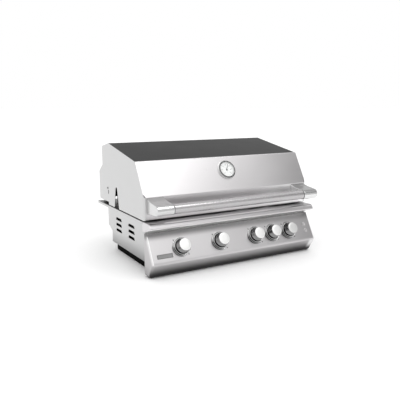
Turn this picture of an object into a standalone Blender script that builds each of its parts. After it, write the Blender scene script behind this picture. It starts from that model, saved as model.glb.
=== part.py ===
"""Built in gas grill with a lift-up hood, four burners, a rear burner and five control knobs.

Metres, +Z up, the front faces -Y. The origin lies on the floor under the middle of the whole grill.
Most outlines are given as (depth, height): behind the hood's front, and over the hood's lower edge.
"""

import math

import bmesh
import bpy
from mathutils import Matrix, Vector

# Sheet metal and fits
SHEET = 0.0015
GAP = 0.0003
OVERRUN = 0.004
BEND = 0.003
MERGE = 0.000001

# Overall places
HOOD_WIDTH = 0.8128
HANDLE_REACH = 0.098
FLANGE_REACH = 0.532
FLANGE_HEIGHT = 0.217
HOOD_LIFT = 0.0045

# Hood outline
BAND_HEIGHT = 0.090
SLOPE_RUN = 0.0755
SLOPE_RISE = 0.1315
ROOF_RUN = 0.2975
ROOF_RISE = 0.0545
EAVE_RUN = 0.083
EAVE_DROP = 0.017
BACK_DROP = 0.084
HUMP_RUN = 0.047
HUMP_DROP = 0.0345
REAR_GAP = 0.0125
REAR_STEP = 0.116
BAND_CORNER = 0.008
BAND_RETURN = 0.010
BAND_LIP = 0.012
ROOF_SEAM = 0.006

# Openings in the hood's sides
SPIT_SLOT_DEPTH = 0.288
SPIT_SLOT_HEIGHT = 0.092
SPIT_SLOT_BASE = 0.053
SPIT_SLOT_TIP = 0.0095
SCREW_SLOT_DEPTH = 0.386
SCREW_SLOT_HEIGHT = 0.058
SCREW_SLOT_LENGTH = 0.020
SCREW_SLOT_WIDTH = 0.0075

# Hood hinge
HINGE_BACK = 0.041
HINGE_HEIGHT = 0.075
HINGE_PIN = 0.004
HINGE_BOSS = 0.010
HINGE_BOSS_LENGTH = 0.0089
BRACKET_INSET = 0.0184
BRACKET_PLATE = 0.004
BRACKET_HEAD = 0.014
BRACKET_FOOT_LENGTH = 0.040
BRACKET_FOOT_WIDTH = 0.024
BRACKET_FOOT_THICKNESS = 0.003
HINGE_CLEARANCE = 0.003

# Handle
HANDLE_TUBE = 0.0195
HANDLE_HEIGHT = 0.0515
HANDLE_INSET = 0.0879
HANDLE_SEAM = 0.0015
SPIGOT_RADIUS = 0.015
SPIGOT_LENGTH = 0.012
HANDLE_NOSE = 0.0215
HANDLE_END_WIDTH = 0.073
HANDLE_ROOT_TOP = 0.088
HANDLE_ROOT_FOOT = 0.025
HANDLE_CREASE = 0.030
HANDLE_CREASE_TOP = 0.079
HANDLE_CREASE_FOOT = 0.0285
HANDLE_EDGE = 0.002

# Thermometer
GAUGE_UP = 0.0905
GAUGE_FLANGE = 0.0425
GAUGE_FLANGE_THICKNESS = 0.002
GAUGE_RING = 0.0395
GAUGE_HEIGHT = 0.010
GAUGE_MOUTH = 0.0345
GAUGE_WELL = 0.033
GAUGE_FLOOR = 0.0025
GAUGE_LENS_SEAT = 0.0073
GAUGE_LENS_THICKNESS = 0.0015
GAUGE_DIAL_THICKNESS = 0.0008
GAUGE_STEM = 0.004
GAUGE_STEM_LENGTH = 0.055
NEEDLE_LENGTH = 0.026
NEEDLE_TAIL = 0.007
NEEDLE_WIDTH = 0.0022
NEEDLE_THICKNESS = 0.0008
NEEDLE_HUB = 0.003
NEEDLE_HUB_HEIGHT = 0.0018
NEEDLE_REST = math.radians(-25)

# Ledge and control panel, as reach before the hood's front and drop below its lower edge
LEDGE_SHOULDER_REACH = 0.0482
LEDGE_NOSE_REACH = 0.0604
LEDGE_NOSE_DROP = 0.0257
LEDGE_FOOT_REACH = 0.011
LEDGE_FOOT_DROP = 0.042
LEDGE_SHOULDER_BEND = 0.014
LEDGE_NOSE_BEND = 0.005
FRONT_OVERHANG = 0.0016
PANEL_TOP_REACH = 0.0147
PANEL_TOP_DROP = 0.048
PANEL_NOSE_REACH = 0.0778
PANEL_NOSE_DROP = 0.161
PANEL_FOOT_REACH = 0.0418
PANEL_BACK_REACH = 0.003
PANEL_BACK_LIFT = 0.003
PANEL_FLOOR_GAP = 0.001
PANEL_BEND = 0.009
FRAME_FOOT = 0.004

# Counter flange
FLANGE_OVERHANG = 0.0021
FLANGE_LIP = 0.0108
FLANGE_BEND = 0.002

# Case
CASE_INSET = 0.0229
CASE_DEPTH = 0.463
CASE_FOOT = 0.0415
CASE_HEM = 0.009
CASE_CHAMFER_DROP = 0.109
CASE_CHAMFER_FALL = 0.020
CASE_CHAMFER_RUN = 0.0475
BASE_INSET = 0.0434
BASE_WALL = 0.002
BASE_RIM = 0.018

# Louvre slots in the case's sides
VENT_COLUMNS = 2
VENT_ROWS = 3
VENT_LENGTH = 0.074
VENT_HEIGHT = 0.013
VENT_SLANT = 0.010
VENT_CORNER = 0.003
VENT_FIRST_DEPTH = 0.185
VENT_COLUMN_PITCH = 0.144
VENT_FIRST_DROP = 0.061
VENT_ROW_PITCH = 0.0255

# Firebox
COOK_INSET = 0.0414
COOK_FRONT = 0.014
COOK_LENGTH = 0.338
SHELF = 0.014
GRATE_DROP = 0.026
TAMER_DROP = 0.064
FIREBOX_REAR_LIP = 0.014
FIREBOX_CLEARANCE = 0.002

# Burners and flame tamers
BURNER_COUNT = 4
BURNER_MARGIN = 0.010
BURNER_TUBE = 0.0127
BURNER_BELL = 0.014
BURNER_BELL_REACH = 0.014
BURNER_BELL_LENGTH = 0.016
BURNER_BELL_TAPER = 0.008
BURNER_WALL = 0.0015
BURNER_END = 0.006
TAMER_HALF = 0.055
TAMER_RISE = 0.028
TAMER_FOOT = 0.005
TAMER_CLEARANCE = 0.0018

# Grates and warming rack
GRATE_COUNT = 3
GRATE_BARS = 12
GRATE_BAR = 0.008
GRATE_RAIL = 0.010
GRATE_THICKNESS = 0.010
GRATE_CLEARANCE = 0.0006
GRATE_CHAMFER = 0.002
RACK_INSET = 0.0264
RACK_FRONT = 0.255
RACK_LENGTH = 0.096
RACK_RISE = 0.150
RACK_WIRE = 0.005
RACK_BARS = 26
RACK_LEG = 0.006

# Rear burner
REAR_BURNER_INSET = 0.1664
REAR_BURNER_START = 0.004
REAR_BURNER_THICKNESS = 0.038
REAR_BURNER_HEIGHT = 0.104
REAR_BURNER_RIM = 0.014
REAR_BURNER_RECESS = 0.008

# Drip tray
TRAY_HEIGHT = 0.018
TRAY_MARGIN = 0.016
TRAY_BEND = 0.004

# Knobs, bezels, valves and manifold, measured out from the panel's face
KNOB_UP = 0.059
EXTRA_KNOB_SHARE = 0.5
KNOB_HEIGHT = 0.040
KNOB_FACE = 0.0243
KNOB_BASE = 0.028
KNOB_EDGE = 0.0018
KNOB_PUSH = 0.004
KNOB_GROOVE = 0.0055
KNOB_SKIRT = 0.003
BEZEL_RADIUS = 0.0392
BEZEL_FLANGE = 0.0025
BEZEL_STEP = 0.0355
BEZEL_RIM = 0.0325
BEZEL_WELL = 0.0285
BEZEL_HEIGHT = 0.0095
BEZEL_FLOOR = 0.004
BEZEL_BORE = 0.009
STEM_RADIUS = 0.004
STEM_FLAT_SHARE = 0.6
STEM_END = 0.010
STEM_ROOM = 0.006
STEM_ROOT = 0.015
PANEL_HOLE = 0.008
VALVE_WIDTH = 0.022
VALVE_ABOVE = 0.012
VALVE_BELOW = 0.016
VALVE_START = 0.006
VALVE_LENGTH = 0.022
VALVE_NECK = 0.0075
MANIFOLD_RADIUS = 0.008
MANIFOLD_BELOW = 0.020
MANIFOLD_BEHIND = 0.020
MANIFOLD_INSET = 0.0764
MANIFOLD_NUT = 0.012
MANIFOLD_NUT_LENGTH = 0.018
SPUD_RADIUS = 0.004
SPUD_REACH = 0.008

# Igniter and light buttons
BUTTON_INSET = 0.0384
BUTTON_UP = 0.0614
BUTTON_SPACING = 0.030
BUTTON_CAP = 0.007
BUTTON_EDGE = 0.0012
BUTTON_OUT = 0.004
BUTTON_RING = 0.009
BUTTON_RING_THICKNESS = 0.0016
BUTTON_BARREL = 0.0082
BUTTON_TRAVEL = 0.003
BUTTON_ROOT = 0.006
BUTTON_FLOOR = 0.0025

# Facets
ROUND = 32
SMALL_ROUND = 16
BEND_STEPS = 3
SMOOTH_ANGLE = math.radians(35)
FLAT_BEND = math.radians(2)

# Finishes: colour, roughness, metallic
STEEL = ((0.62, 0.62, 0.61), 0.30, 1.0)
LIGHT_STEEL = ((0.70, 0.70, 0.69), 0.34, 1.0)
DARK_STEEL = ((0.10, 0.10, 0.10), 0.36, 1.0)
POLISHED = ((0.78, 0.78, 0.77), 0.14, 1.0)
INNER_STEEL = ((0.48, 0.47, 0.46), 0.42, 1.0)
CAST_STEEL = ((0.36, 0.35, 0.34), 0.45, 1.0)
BRASS = ((0.70, 0.52, 0.25), 0.30, 1.0)
BLACK_PAINT = ((0.015, 0.015, 0.015), 0.55, 0.0)
DIAL_WHITE = ((0.85, 0.85, 0.84), 0.50, 0.0)
NEEDLE_BLACK = ((0.04, 0.04, 0.04), 0.45, 0.0)
CLEAR_GLASS = ((0.95, 0.97, 0.97), 0.02, 0.0)

# Places worked out from the sizes above
HOOD_FRONT = HANDLE_REACH - (HANDLE_REACH + FLANGE_REACH) / 2
HOOD_SILL = FLANGE_HEIGHT + HOOD_LIFT
HOOD_HALF = HOOD_WIDTH / 2
FRONT_HALF = HOOD_HALF + FRONT_OVERHANG
FLANGE_HALF = HOOD_HALF + FLANGE_OVERHANG
CASE_HALF = HOOD_HALF - CASE_INSET
COOK_HALF = HOOD_HALF - COOK_INSET
COOK_WIDTH = COOK_HALF * 2
BURNER_PITCH = (COOK_WIDTH - BURNER_MARGIN) / BURNER_COUNT
HANDLE_BAR_HALF = HOOD_HALF - HANDLE_INSET
MANIFOLD_HALF = HOOD_HALF - MANIFOLD_INSET
BUTTON_SIDE = HOOD_HALF - BUTTON_INSET
SHELL_HALF = HOOD_HALF - SHEET - GAP
BAND_HALF = HOOD_HALF - BAND_RETURN - GAP
COOK_REAR = COOK_FRONT + COOK_LENGTH
SEAT_DROP = HOOD_LIFT + SHEET + GAP
FRAME_FRONT = GAP - PANEL_BACK_REACH
INNER_FRONT = FRAME_FRONT + SHEET + GAP
LEDGE_BACK = COOK_FRONT - SHEET - GAP
PANEL_FOOT_DROP = HOOD_SILL - PANEL_FLOOR_GAP
CASE_FLOOR = CASE_FOOT + CASE_HEM
TRAY_FOOT = CASE_FLOOR + GAP
FIREBOX_FOOT_DROP = HOOD_SILL - TRAY_FOOT - TRAY_HEIGHT - FIREBOX_CLEARANCE
REAR_FLOOR_DEPTH = CASE_DEPTH - CASE_CHAMFER_RUN
HOOD_REAR = SLOPE_RUN + ROOF_RUN + EAVE_RUN + HUMP_RUN
HINGE_DEPTH = HOOD_REAR - HINGE_BACK
VALVE_MIDDLE = VALVE_START + VALVE_LENGTH / 2
KNOB_FOOT = BEZEL_HEIGHT + KNOB_GROOVE


def at(depth, height):
    """World (y, z) of a point behind the hood's front and over the hood's lower edge."""
    return HOOD_FRONT + depth, HOOD_SILL + height


def leaning(foot, top):
    """Where a sloping sheet starts and how far it leans, from its lower and upper (depth, height)."""
    origin = Vector((0.0, *at(*foot)))
    turn = math.atan2(top[1] - foot[1], top[0] - foot[0])
    return origin, turn


def on_plane(plane, across, up, out=0.0):
    """World point on a leaning sheet, out from its face."""
    origin, turn = plane
    return origin + Matrix.Rotation(turn, 3, "X") @ Vector((across, up, out))


BROW = (0.0, BAND_HEIGHT)
CROWN = (SLOPE_RUN, BAND_HEIGHT + SLOPE_RISE)
SLOPE = leaning(BROW, CROWN)
PANEL = leaning((-PANEL_NOSE_REACH, -PANEL_NOSE_DROP), (-PANEL_TOP_REACH, -PANEL_TOP_DROP))
HINGE_POINT = Vector((0.0, *at(HINGE_DEPTH, HINGE_HEIGHT)))
VALVE_POINT = on_plane(PANEL, 0.0, KNOB_UP, -VALVE_MIDDLE)


def clear_scene():
    """Removes what the scene holds."""
    for obj in list(bpy.data.objects):
        bpy.data.objects.remove(obj, do_unlink=True)


def finished(bm, name, finish, spot=(0.0, 0.0, 0.0), turn=0.0):
    """The built mesh as a named object with its own material, placed and leaned about X."""
    mesh = bpy.data.meshes.new(name)
    bm.to_mesh(mesh)
    bm.free()
    mesh.shade_smooth()
    mesh.set_sharp_from_angle(angle=SMOOTH_ANGLE)
    obj = bpy.data.objects.new(name, mesh)
    obj.location = spot
    obj.rotation_euler.x = turn
    bpy.context.scene.collection.objects.link(obj)
    colour, roughness, metallic = finish
    material = bpy.data.materials.new(name + "_finish")
    material.use_nodes = True
    shader = material.node_tree.nodes["Principled BSDF"]
    shader.inputs["Base Color"].default_value = (*colour, 1.0)
    shader.inputs["Roughness"].default_value = roughness
    shader.inputs["Metallic"].default_value = metallic
    mesh.materials.append(material)
    return obj


def helper(bm, name, spot=(0.0, 0.0, 0.0), turn=0.0):
    """A cutter or a joining shape, left out of the render."""
    obj = finished(bm, name, STEEL, spot, turn)
    obj.hide_render = True
    obj.display_type = "WIRE"
    return obj


def boolean(obj, other, operation):
    """Cuts the other shape from the object, or joins it on."""
    modifier = obj.modifiers.new(operation.lower() + "_" + other.name, "BOOLEAN")
    modifier.operation = operation
    modifier.solver = "EXACT"
    modifier.object = other


def thicken(obj, thickness=SHEET):
    """Gives an open surface its sheet thickness, inward from the outer face."""
    modifier = obj.modifiers.new("sheet", "SOLIDIFY")
    modifier.thickness = thickness
    modifier.offset = -1.0
    modifier.use_even_offset = True


def carry(child, parent):
    """Parents a piece and leaves it where it stands."""
    child.parent = parent
    child.matrix_parent_inverse = parent.matrix_basis.inverted()


def axis_empty(name, spot):
    """An empty on a joint's axis."""
    empty = bpy.data.objects.new(name, None)
    empty.location = spot
    bpy.context.scene.collection.objects.link(empty)
    return empty


def fillet(points, radius, steps=BEND_STEPS):
    """A path whose inner corners are turned into arcs of the radius."""
    path = [Vector(points[0])]
    for before, corner, after in zip(points, points[1:], points[2:]):
        corner = Vector(corner)
        back = (Vector(before) - corner).normalized()
        ahead = (Vector(after) - corner).normalized()
        half = back.angle(ahead) / 2
        middle = corner + (back + ahead).normalized() * radius / math.sin(half)
        reach = radius / math.tan(half)
        start = corner + back * reach - middle
        end = corner + ahead * reach - middle
        turn = start.angle(end)
        if turn < FLAT_BEND:
            path.append(corner)
            continue
        for step in range(steps + 1):
            along = step / steps
            arm = start * math.sin((1 - along) * turn) + end * math.sin(along * turn)
            path.append(middle + arm / math.sin(turn))
    path.append(Vector(points[-1]))
    return [tuple(point) for point in path]


def fillet_closed(points, radius, steps=BEND_STEPS):
    """A closed outline with every corner rounded."""
    return fillet([points[-1], *points, points[0]], radius, steps)[1:-1]


def arc(centre, radius, start, end, steps):
    """Points of an arc about the centre, angles from the first axis to the second."""
    points = []
    for step in range(steps + 1):
        turn = start + (end - start) * step / steps
        points.append((centre[0] + radius * math.cos(turn), centre[1] + radius * math.sin(turn)))
    return points


def push(bm, faces, vector):
    """Extrudes the faces by a vector and gives back the moved corners."""
    pushed = bmesh.ops.extrude_face_region(bm, geom=faces)
    moved = [item for item in pushed["geom"] if isinstance(item, bmesh.types.BMVert)]
    bmesh.ops.translate(bm, vec=vector, verts=moved)
    return moved


def extruded(outline, start, end):
    """A solid across the grill from a closed (depth, height) outline."""
    bm = bmesh.new()
    face = bm.faces.new([bm.verts.new((start, *at(*point))) for point in outline])
    push(bm, [face], (end - start, 0.0, 0.0))
    bmesh.ops.recalc_face_normals(bm, faces=bm.faces)
    return bm


def strip(path, half):
    """An open bent surface across the grill; half gives its half width at each (depth, height)."""
    bm = bmesh.new()
    rows = []
    for point in path:
        side = half(point)
        rows.append([bm.verts.new((across, *at(*point))) for across in (-side, side)])
    for (left, right), (next_left, next_right) in zip(rows, rows[1:]):
        bm.faces.new((left, right, next_right, next_left))
    return bm


def add_block(bm, low, high):
    """Adds a box between two corners to a mesh."""
    low, high = Vector(low), Vector(high)
    size = Matrix.Diagonal((*(high - low), 1.0))
    bmesh.ops.create_cube(bm, size=1.0, matrix=Matrix.Translation((low + high) / 2) @ size)


def add_cylinder(bm, radius, start, end, segments=SMALL_ROUND):
    """Adds a closed cylinder between two points to a mesh."""
    start, end = Vector(start), Vector(end)
    axis = end - start
    turn = axis.to_track_quat("Z", "Y").to_matrix().to_4x4()
    place = Matrix.Translation((start + end) / 2) @ turn
    size = {"radius1": radius, "radius2": radius, "depth": axis.length}
    bmesh.ops.create_cone(bm, cap_ends=True, segments=segments, matrix=place, **size)


def turned(profile, segments=ROUND):
    """A solid turned about its own Z; a profile that starts off the axis is closed into a ring."""
    bm = bmesh.new()
    verts = [bm.verts.new((radius, 0.0, height)) for radius, height in profile]
    edges = [bm.edges.new(pair) for pair in zip(verts, verts[1:])]
    if profile[0][0] > 0:
        edges.append(bm.edges.new((verts[-1], verts[0])))
    bmesh.ops.spin(bm, geom=verts + edges, axis=(0, 0, 1), angle=math.tau, steps=segments, use_merge=True)
    bmesh.ops.remove_doubles(bm, verts=bm.verts, dist=MERGE)
    bmesh.ops.recalc_face_normals(bm, faces=bm.faces)
    return bm


def faced(bm, direction):
    """Turns a surface so that its foremost face in the direction looks that way."""
    bmesh.ops.recalc_face_normals(bm, faces=bm.faces)
    foremost = max(bm.faces, key=lambda face: face.calc_center_median().dot(direction))
    if foremost.normal.dot(direction) < 0:
        bmesh.ops.reverse_faces(bm, faces=bm.faces)
    return bm


def round_edges(bm, edges, radius, steps=BEND_STEPS):
    """Bevels the edges to the radius."""
    bmesh.ops.bevel(bm, geom=list(edges), offset=radius, segments=steps, profile=0.5, affect="EDGES")


def folds(bm):
    """The edges where a surface is folded."""
    shared = [edge for edge in bm.edges if len(edge.link_faces) == 2]
    return [edge for edge in shared if edge.calc_face_angle() > SMOOTH_ANGLE]


def folded_box(outline, half, open_sides):
    """A prism surface with closed ends that lacks the sides after the numbered outline points."""
    bm = bmesh.new()
    ends = [[bm.verts.new((across, *at(*point))) for point in outline] for across in (-half, half)]
    for end in ends:
        bm.faces.new(end)
    for number in range(len(outline)):
        if number not in open_sides:
            after = (number + 1) % len(outline)
            bm.faces.new((ends[0][number], ends[0][after], ends[1][after], ends[1][number]))
    return bm


def grid_plate(columns, rows, filled, top, thickness):
    """A plate with slots: the filled cells of a grid of (x, y) lines, extruded down."""
    bm = bmesh.new()
    corners = {}

    def corner(column, row):
        key = (column, row)
        if key not in corners:
            corners[key] = bm.verts.new((columns[column], rows[row], top))
        return corners[key]

    for column in range(len(columns) - 1):
        for row in range(len(rows) - 1):
            if filled(column, row):
                spots = ((column, row), (column + 1, row), (column + 1, row + 1), (column, row + 1))
                bm.faces.new([corner(*spot) for spot in spots])
    push(bm, bm.faces[:], (0.0, 0.0, -thickness))
    bmesh.ops.recalc_face_normals(bm, faces=bm.faces)
    return bm


def bar_lines(start, end, bars, bar):
    """Edges of evenly spaced bars from the start line to the end line."""
    pitch = (end - start - bar) / (bars - 1)
    lines = []
    for number in range(bars):
        lines += [start + number * pitch, start + number * pitch + bar]
    return lines


def side_name(side):
    """The word for the grill's left (-1) or right (+1), seen from the front."""
    return "left" if side < 0 else "right"


# Hood


def hood_outline():
    """The hood's outer profile from the band's foot over the roof to the rear foot."""
    ridge = (CROWN[0] + ROOF_RUN, CROWN[1] + ROOF_RISE)
    eave = (ridge[0] + EAVE_RUN, ridge[1] - EAVE_DROP)
    nape = (eave[0], eave[1] - BACK_DROP)
    hump = (nape[0] + HUMP_RUN, nape[1] - HUMP_DROP)
    return [(0.0, 0.0), BROW, CROWN, ridge, eave, nape, hump, (hump[0], REAR_GAP)]


def spit_slot():
    """The tapered slot that a spit drops into, from its rear lower corner to its front one."""
    tip = (SPIT_SLOT_DEPTH, SPIT_SLOT_HEIGHT - SPIT_SLOT_TIP)
    lean = math.atan2(SPIT_SLOT_BASE / 2 - SPIT_SLOT_TIP, tip[1])
    crest = arc(tip, SPIT_SLOT_TIP, lean, math.pi - lean, BEND_STEPS + BEND_STEPS)
    return [(tip[0] + SPIT_SLOT_BASE / 2, 0.0), *crest, (tip[0] - SPIT_SLOT_BASE / 2, 0.0)]


def hood_side(side):
    """A side plate with its front return, spit slot, screw slot and hinge boss."""
    step = HOOD_REAR - REAR_STEP
    outline = [*hood_outline(), (step, REAR_GAP), (step, 0.0), *spit_slot()]
    bm = bmesh.new()
    outer = [bm.verts.new((side * HOOD_HALF, *at(*point))) for point in outline]
    bm.faces.new(outer)
    returned = [bm.verts.new((side * (HOOD_HALF - BAND_RETURN), *at(*point))) for point in outline[:2]]
    bm.faces.new((outer[1], outer[0], *returned))
    faced(bm, Vector((side, 0.0, 0.0)))
    round_edges(bm, folds(bm), BAND_CORNER)
    for vert in bm.verts:
        vert.co -= HINGE_POINT
    name = side_name(side)
    plate = finished(bm, "hood_side_" + name, LIGHT_STEEL, HINGE_POINT)
    thicken(plate)
    boolean(plate, helper(screw_slot(), "screw_slot_" + name), "DIFFERENCE")
    inner = side * (HOOD_HALF - SHEET)
    boss = bmesh.new()
    boss_start = Vector((inner - side * HINGE_BOSS_LENGTH, *HINGE_POINT.yz))
    add_cylinder(boss, HINGE_BOSS, boss_start, (inner + side * SHEET / 2, *HINGE_POINT.yz))
    boolean(plate, helper(boss, "hinge_boss_" + name), "UNION")
    bore = bmesh.new()
    bore_start = boss_start - Vector((side * OVERRUN, 0.0, 0.0))
    add_cylinder(bore, HINGE_PIN + GAP, bore_start, (inner - side * GAP, *HINGE_POINT.yz))
    boolean(plate, helper(bore, "hinge_bore_" + name), "DIFFERENCE")
    return plate


def screw_slot():
    """The short upright slot behind the spit slot, as a cutter through both sides."""
    half = SCREW_SLOT_WIDTH / 2
    rise = SCREW_SLOT_LENGTH / 2 - half
    upper = arc((SCREW_SLOT_DEPTH, SCREW_SLOT_HEIGHT + rise), half, 0.0, math.pi, BEND_STEPS + 1)
    lower = arc((SCREW_SLOT_DEPTH, SCREW_SLOT_HEIGHT - rise), half, math.pi, math.tau, BEND_STEPS + 1)
    return extruded(upper + lower, -HOOD_HALF - OVERRUN, HOOD_HALF + OVERRUN)


def hood_front():
    """The front sheet: lower lip, upright band, leaning face and the first of the roof."""
    trim = BAND_CORNER * SLOPE_RISE / SLOPE_RUN
    outline = hood_outline()
    roof = Vector(outline[3]) - Vector(CROWN)
    seam = Vector(CROWN) + roof.normalized() * ROOF_SEAM
    corner = (BAND_CORNER, BAND_HEIGHT + trim)
    path = fillet([(BAND_LIP, 0.0), (0.0, 0.0), BROW, corner, CROWN, tuple(seam)], BEND)

    def half(point):
        share = min(max((point[1] - BAND_HEIGHT) / trim, 0.0), 1.0)
        return BAND_HALF + (SHELL_HALF - BAND_HALF) * share

    bm = strip(path, half)
    for vert in bm.verts:
        vert.co -= HINGE_POINT
    sheet = finished(bm, "hood_front", STEEL, HINGE_POINT)
    thicken(sheet)
    hole = bmesh.new()
    spot = on_plane(SLOPE, 0.0, GAUGE_UP)
    out = on_plane(SLOPE, 0.0, GAUGE_UP, OVERRUN) - spot
    add_cylinder(hole, GAUGE_STEM + GAP, spot - out, spot + out)
    boolean(sheet, helper(hole, "gauge_hole"), "DIFFERENCE")
    return sheet


def hood_top():
    """The roof, rear face and rear hump as one bent sheet, narrowed below the hump for the hinges."""
    outline = hood_outline()
    roof = (Vector(outline[3]) - Vector(CROWN)).normalized()
    start = Vector(CROWN) + roof * (ROOF_SEAM + GAP)
    path = fillet([tuple(start), *outline[3:]], BEND)
    bm = strip(path, lambda point: SHELL_HALF)
    for vert in bm.verts:
        vert.co -= HINGE_POINT
    sheet = finished(bm, "hood_top", DARK_STEEL, HINGE_POINT)
    thicken(sheet)
    corners = bmesh.new()
    narrow = HOOD_HALF - BRACKET_INSET - BRACKET_PLATE - HINGE_CLEARANCE
    low_y, low_z = at(HOOD_REAR - SHEET - OVERRUN, REAR_GAP - OVERRUN)
    high_y, high_z = at(HOOD_REAR + OVERRUN, outline[6][1] - BEND)
    for side in (-1, 1):
        across = sorted((side * narrow, side * (HOOD_HALF + OVERRUN)))
        add_block(corners, (across[0], low_y, low_z), (across[1], high_y, high_z))
    boolean(sheet, helper(corners, "rear_corner_cut"), "DIFFERENCE")
    return sheet


def hinge_bracket(side):
    """A bracket on the flange whose pin carries one side of the hood."""
    name = side_name(side)
    outer = HOOD_HALF - BRACKET_INSET
    inner = outer - BRACKET_PLATE
    foot_drop = HOOD_LIFT - GAP
    stem_foot = BRACKET_FOOT_THICKNESS / 2 - foot_drop
    head = arc((HINGE_DEPTH, HINGE_HEIGHT), BRACKET_HEAD, 0.0, math.pi, BEND_STEPS + BEND_STEPS)
    outline = [(head[-1][0], stem_foot), (head[0][0], stem_foot), *head]
    bm = extruded(outline, *sorted((side * inner, side * outer)))
    bracket = finished(bm, "hinge_bracket_" + name, INNER_STEEL)
    foot = bmesh.new()
    middle = (inner + outer) / 2
    reach = BRACKET_FOOT_LENGTH / 2
    low = at(HINGE_DEPTH - reach, -foot_drop)
    high = at(HINGE_DEPTH + reach, BRACKET_FOOT_THICKNESS - foot_drop)
    across = sorted((side * (middle - BRACKET_FOOT_WIDTH / 2), side * (middle + BRACKET_FOOT_WIDTH / 2)))
    add_block(foot, (across[0], *low), (across[1], *high))
    boolean(bracket, helper(foot, "bracket_foot_" + name), "UNION")
    pin = bmesh.new()
    tip = HOOD_HALF - SHEET - GAP - GAP
    add_cylinder(pin, HINGE_PIN, (side * middle, *HINGE_POINT.yz), (side * tip, *HINGE_POINT.yz))
    boolean(bracket, helper(pin, "hinge_pin_" + name), "UNION")
    return bracket


# Handle


def handle_bar():
    """The bar with a spigot at each end."""
    spigot = HANDLE_BAR_HALF + SPIGOT_LENGTH
    profile = [
        (0.0, spigot),
        (SPIGOT_RADIUS, spigot),
        (SPIGOT_RADIUS, HANDLE_BAR_HALF),
        (HANDLE_TUBE, HANDLE_BAR_HALF),
        (HANDLE_TUBE, -HANDLE_BAR_HALF),
        (SPIGOT_RADIUS, -HANDLE_BAR_HALF),
        (SPIGOT_RADIUS, -spigot),
        (0.0, -spigot),
    ]
    bm = turned(profile)
    bmesh.ops.rotate(bm, verts=bm.verts, cent=(0, 0, 0), matrix=Matrix.Rotation(math.pi / 2, 3, "Y"))
    return finished(bm, "handle_bar", STEEL, (0.0, *at(HANDLE_NOSE - HANDLE_REACH, HANDLE_HEIGHT)))


def handle_bracket(side):
    """A block that stands off the band and rounds over the bar's end."""
    axis = (HANDLE_NOSE - HANDLE_REACH, HANDLE_HEIGHT)
    nose = arc(axis, HANDLE_NOSE, math.pi / 2, math.pi * 3 / 2, ROUND // 4)
    outline = [
        (-GAP, HANDLE_ROOT_TOP),
        (-HANDLE_CREASE, HANDLE_CREASE_TOP),
        *nose,
        (-HANDLE_CREASE, HANDLE_CREASE_FOOT),
        (-GAP, HANDLE_ROOT_FOOT),
    ]
    start = HANDLE_BAR_HALF + HANDLE_SEAM
    bm = extruded(outline, side * start, side * (start + HANDLE_END_WIDTH))
    rims = [edge for edge in folds(bm) if end_edge(edge) and not at_root(edge)]
    round_edges(bm, rims, HANDLE_EDGE, BEND_STEPS - 1)
    name = side_name(side)
    bracket = finished(bm, "handle_bracket_" + name, POLISHED)
    bore = bmesh.new()
    mouth = side * (start - OVERRUN)
    depth = side * (HANDLE_BAR_HALF + SPIGOT_LENGTH + GAP)
    add_cylinder(bore, SPIGOT_RADIUS + GAP, (mouth, *at(*axis)), (depth, *at(*axis)), ROUND)
    boolean(bracket, helper(bore, "handle_bore_" + name), "DIFFERENCE")
    return bracket


def end_edge(edge):
    """True for an edge round an end face."""
    ends = [abs(face.normal.x) for face in edge.link_faces]
    return max(ends) > math.cos(SMOOTH_ANGLE) > min(ends)


def at_root(edge):
    """True for an edge of a bracket that lies on the hood's band."""
    return min(vert.co.y for vert in edge.verts) > HOOD_FRONT - HANDLE_EDGE


# Thermometer


def thermometer_case():
    """A flanged cup with a step for the glass, and the stem that reaches into the hood."""
    profile = [
        (0.0, -GAUGE_STEM_LENGTH),
        (GAUGE_STEM, -GAUGE_STEM_LENGTH),
        (GAUGE_STEM, GAP),
        (GAUGE_FLANGE, GAP),
        (GAUGE_FLANGE, GAP + GAUGE_FLANGE_THICKNESS),
        (GAUGE_RING, GAP + GAUGE_FLANGE_THICKNESS),
        (GAUGE_RING, GAUGE_HEIGHT - KNOB_EDGE),
        (GAUGE_RING - KNOB_EDGE, GAUGE_HEIGHT),
        (GAUGE_MOUTH, GAUGE_HEIGHT),
        (GAUGE_MOUTH, GAUGE_LENS_SEAT),
        (GAUGE_WELL, GAUGE_LENS_SEAT),
        (GAUGE_WELL, GAUGE_FLOOR),
        (0.0, GAUGE_FLOOR),
    ]
    return finished(turned(profile), "thermometer_case", POLISHED, gauge_spot(), SLOPE[1])


def gauge_spot():
    """The middle of the thermometer on the hood's leaning face."""
    return on_plane(SLOPE, 0.0, GAUGE_UP)


def thermometer_dial():
    """The printed plate in the case."""
    foot = GAUGE_FLOOR + GAP
    edge = GAUGE_WELL - GAP
    top = foot + GAUGE_DIAL_THICKNESS
    bm = turned([(0.0, foot), (edge, foot), (edge, top), (0.0, top)])
    return finished(bm, "thermometer_dial", DIAL_WHITE, gauge_spot(), SLOPE[1])


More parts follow.
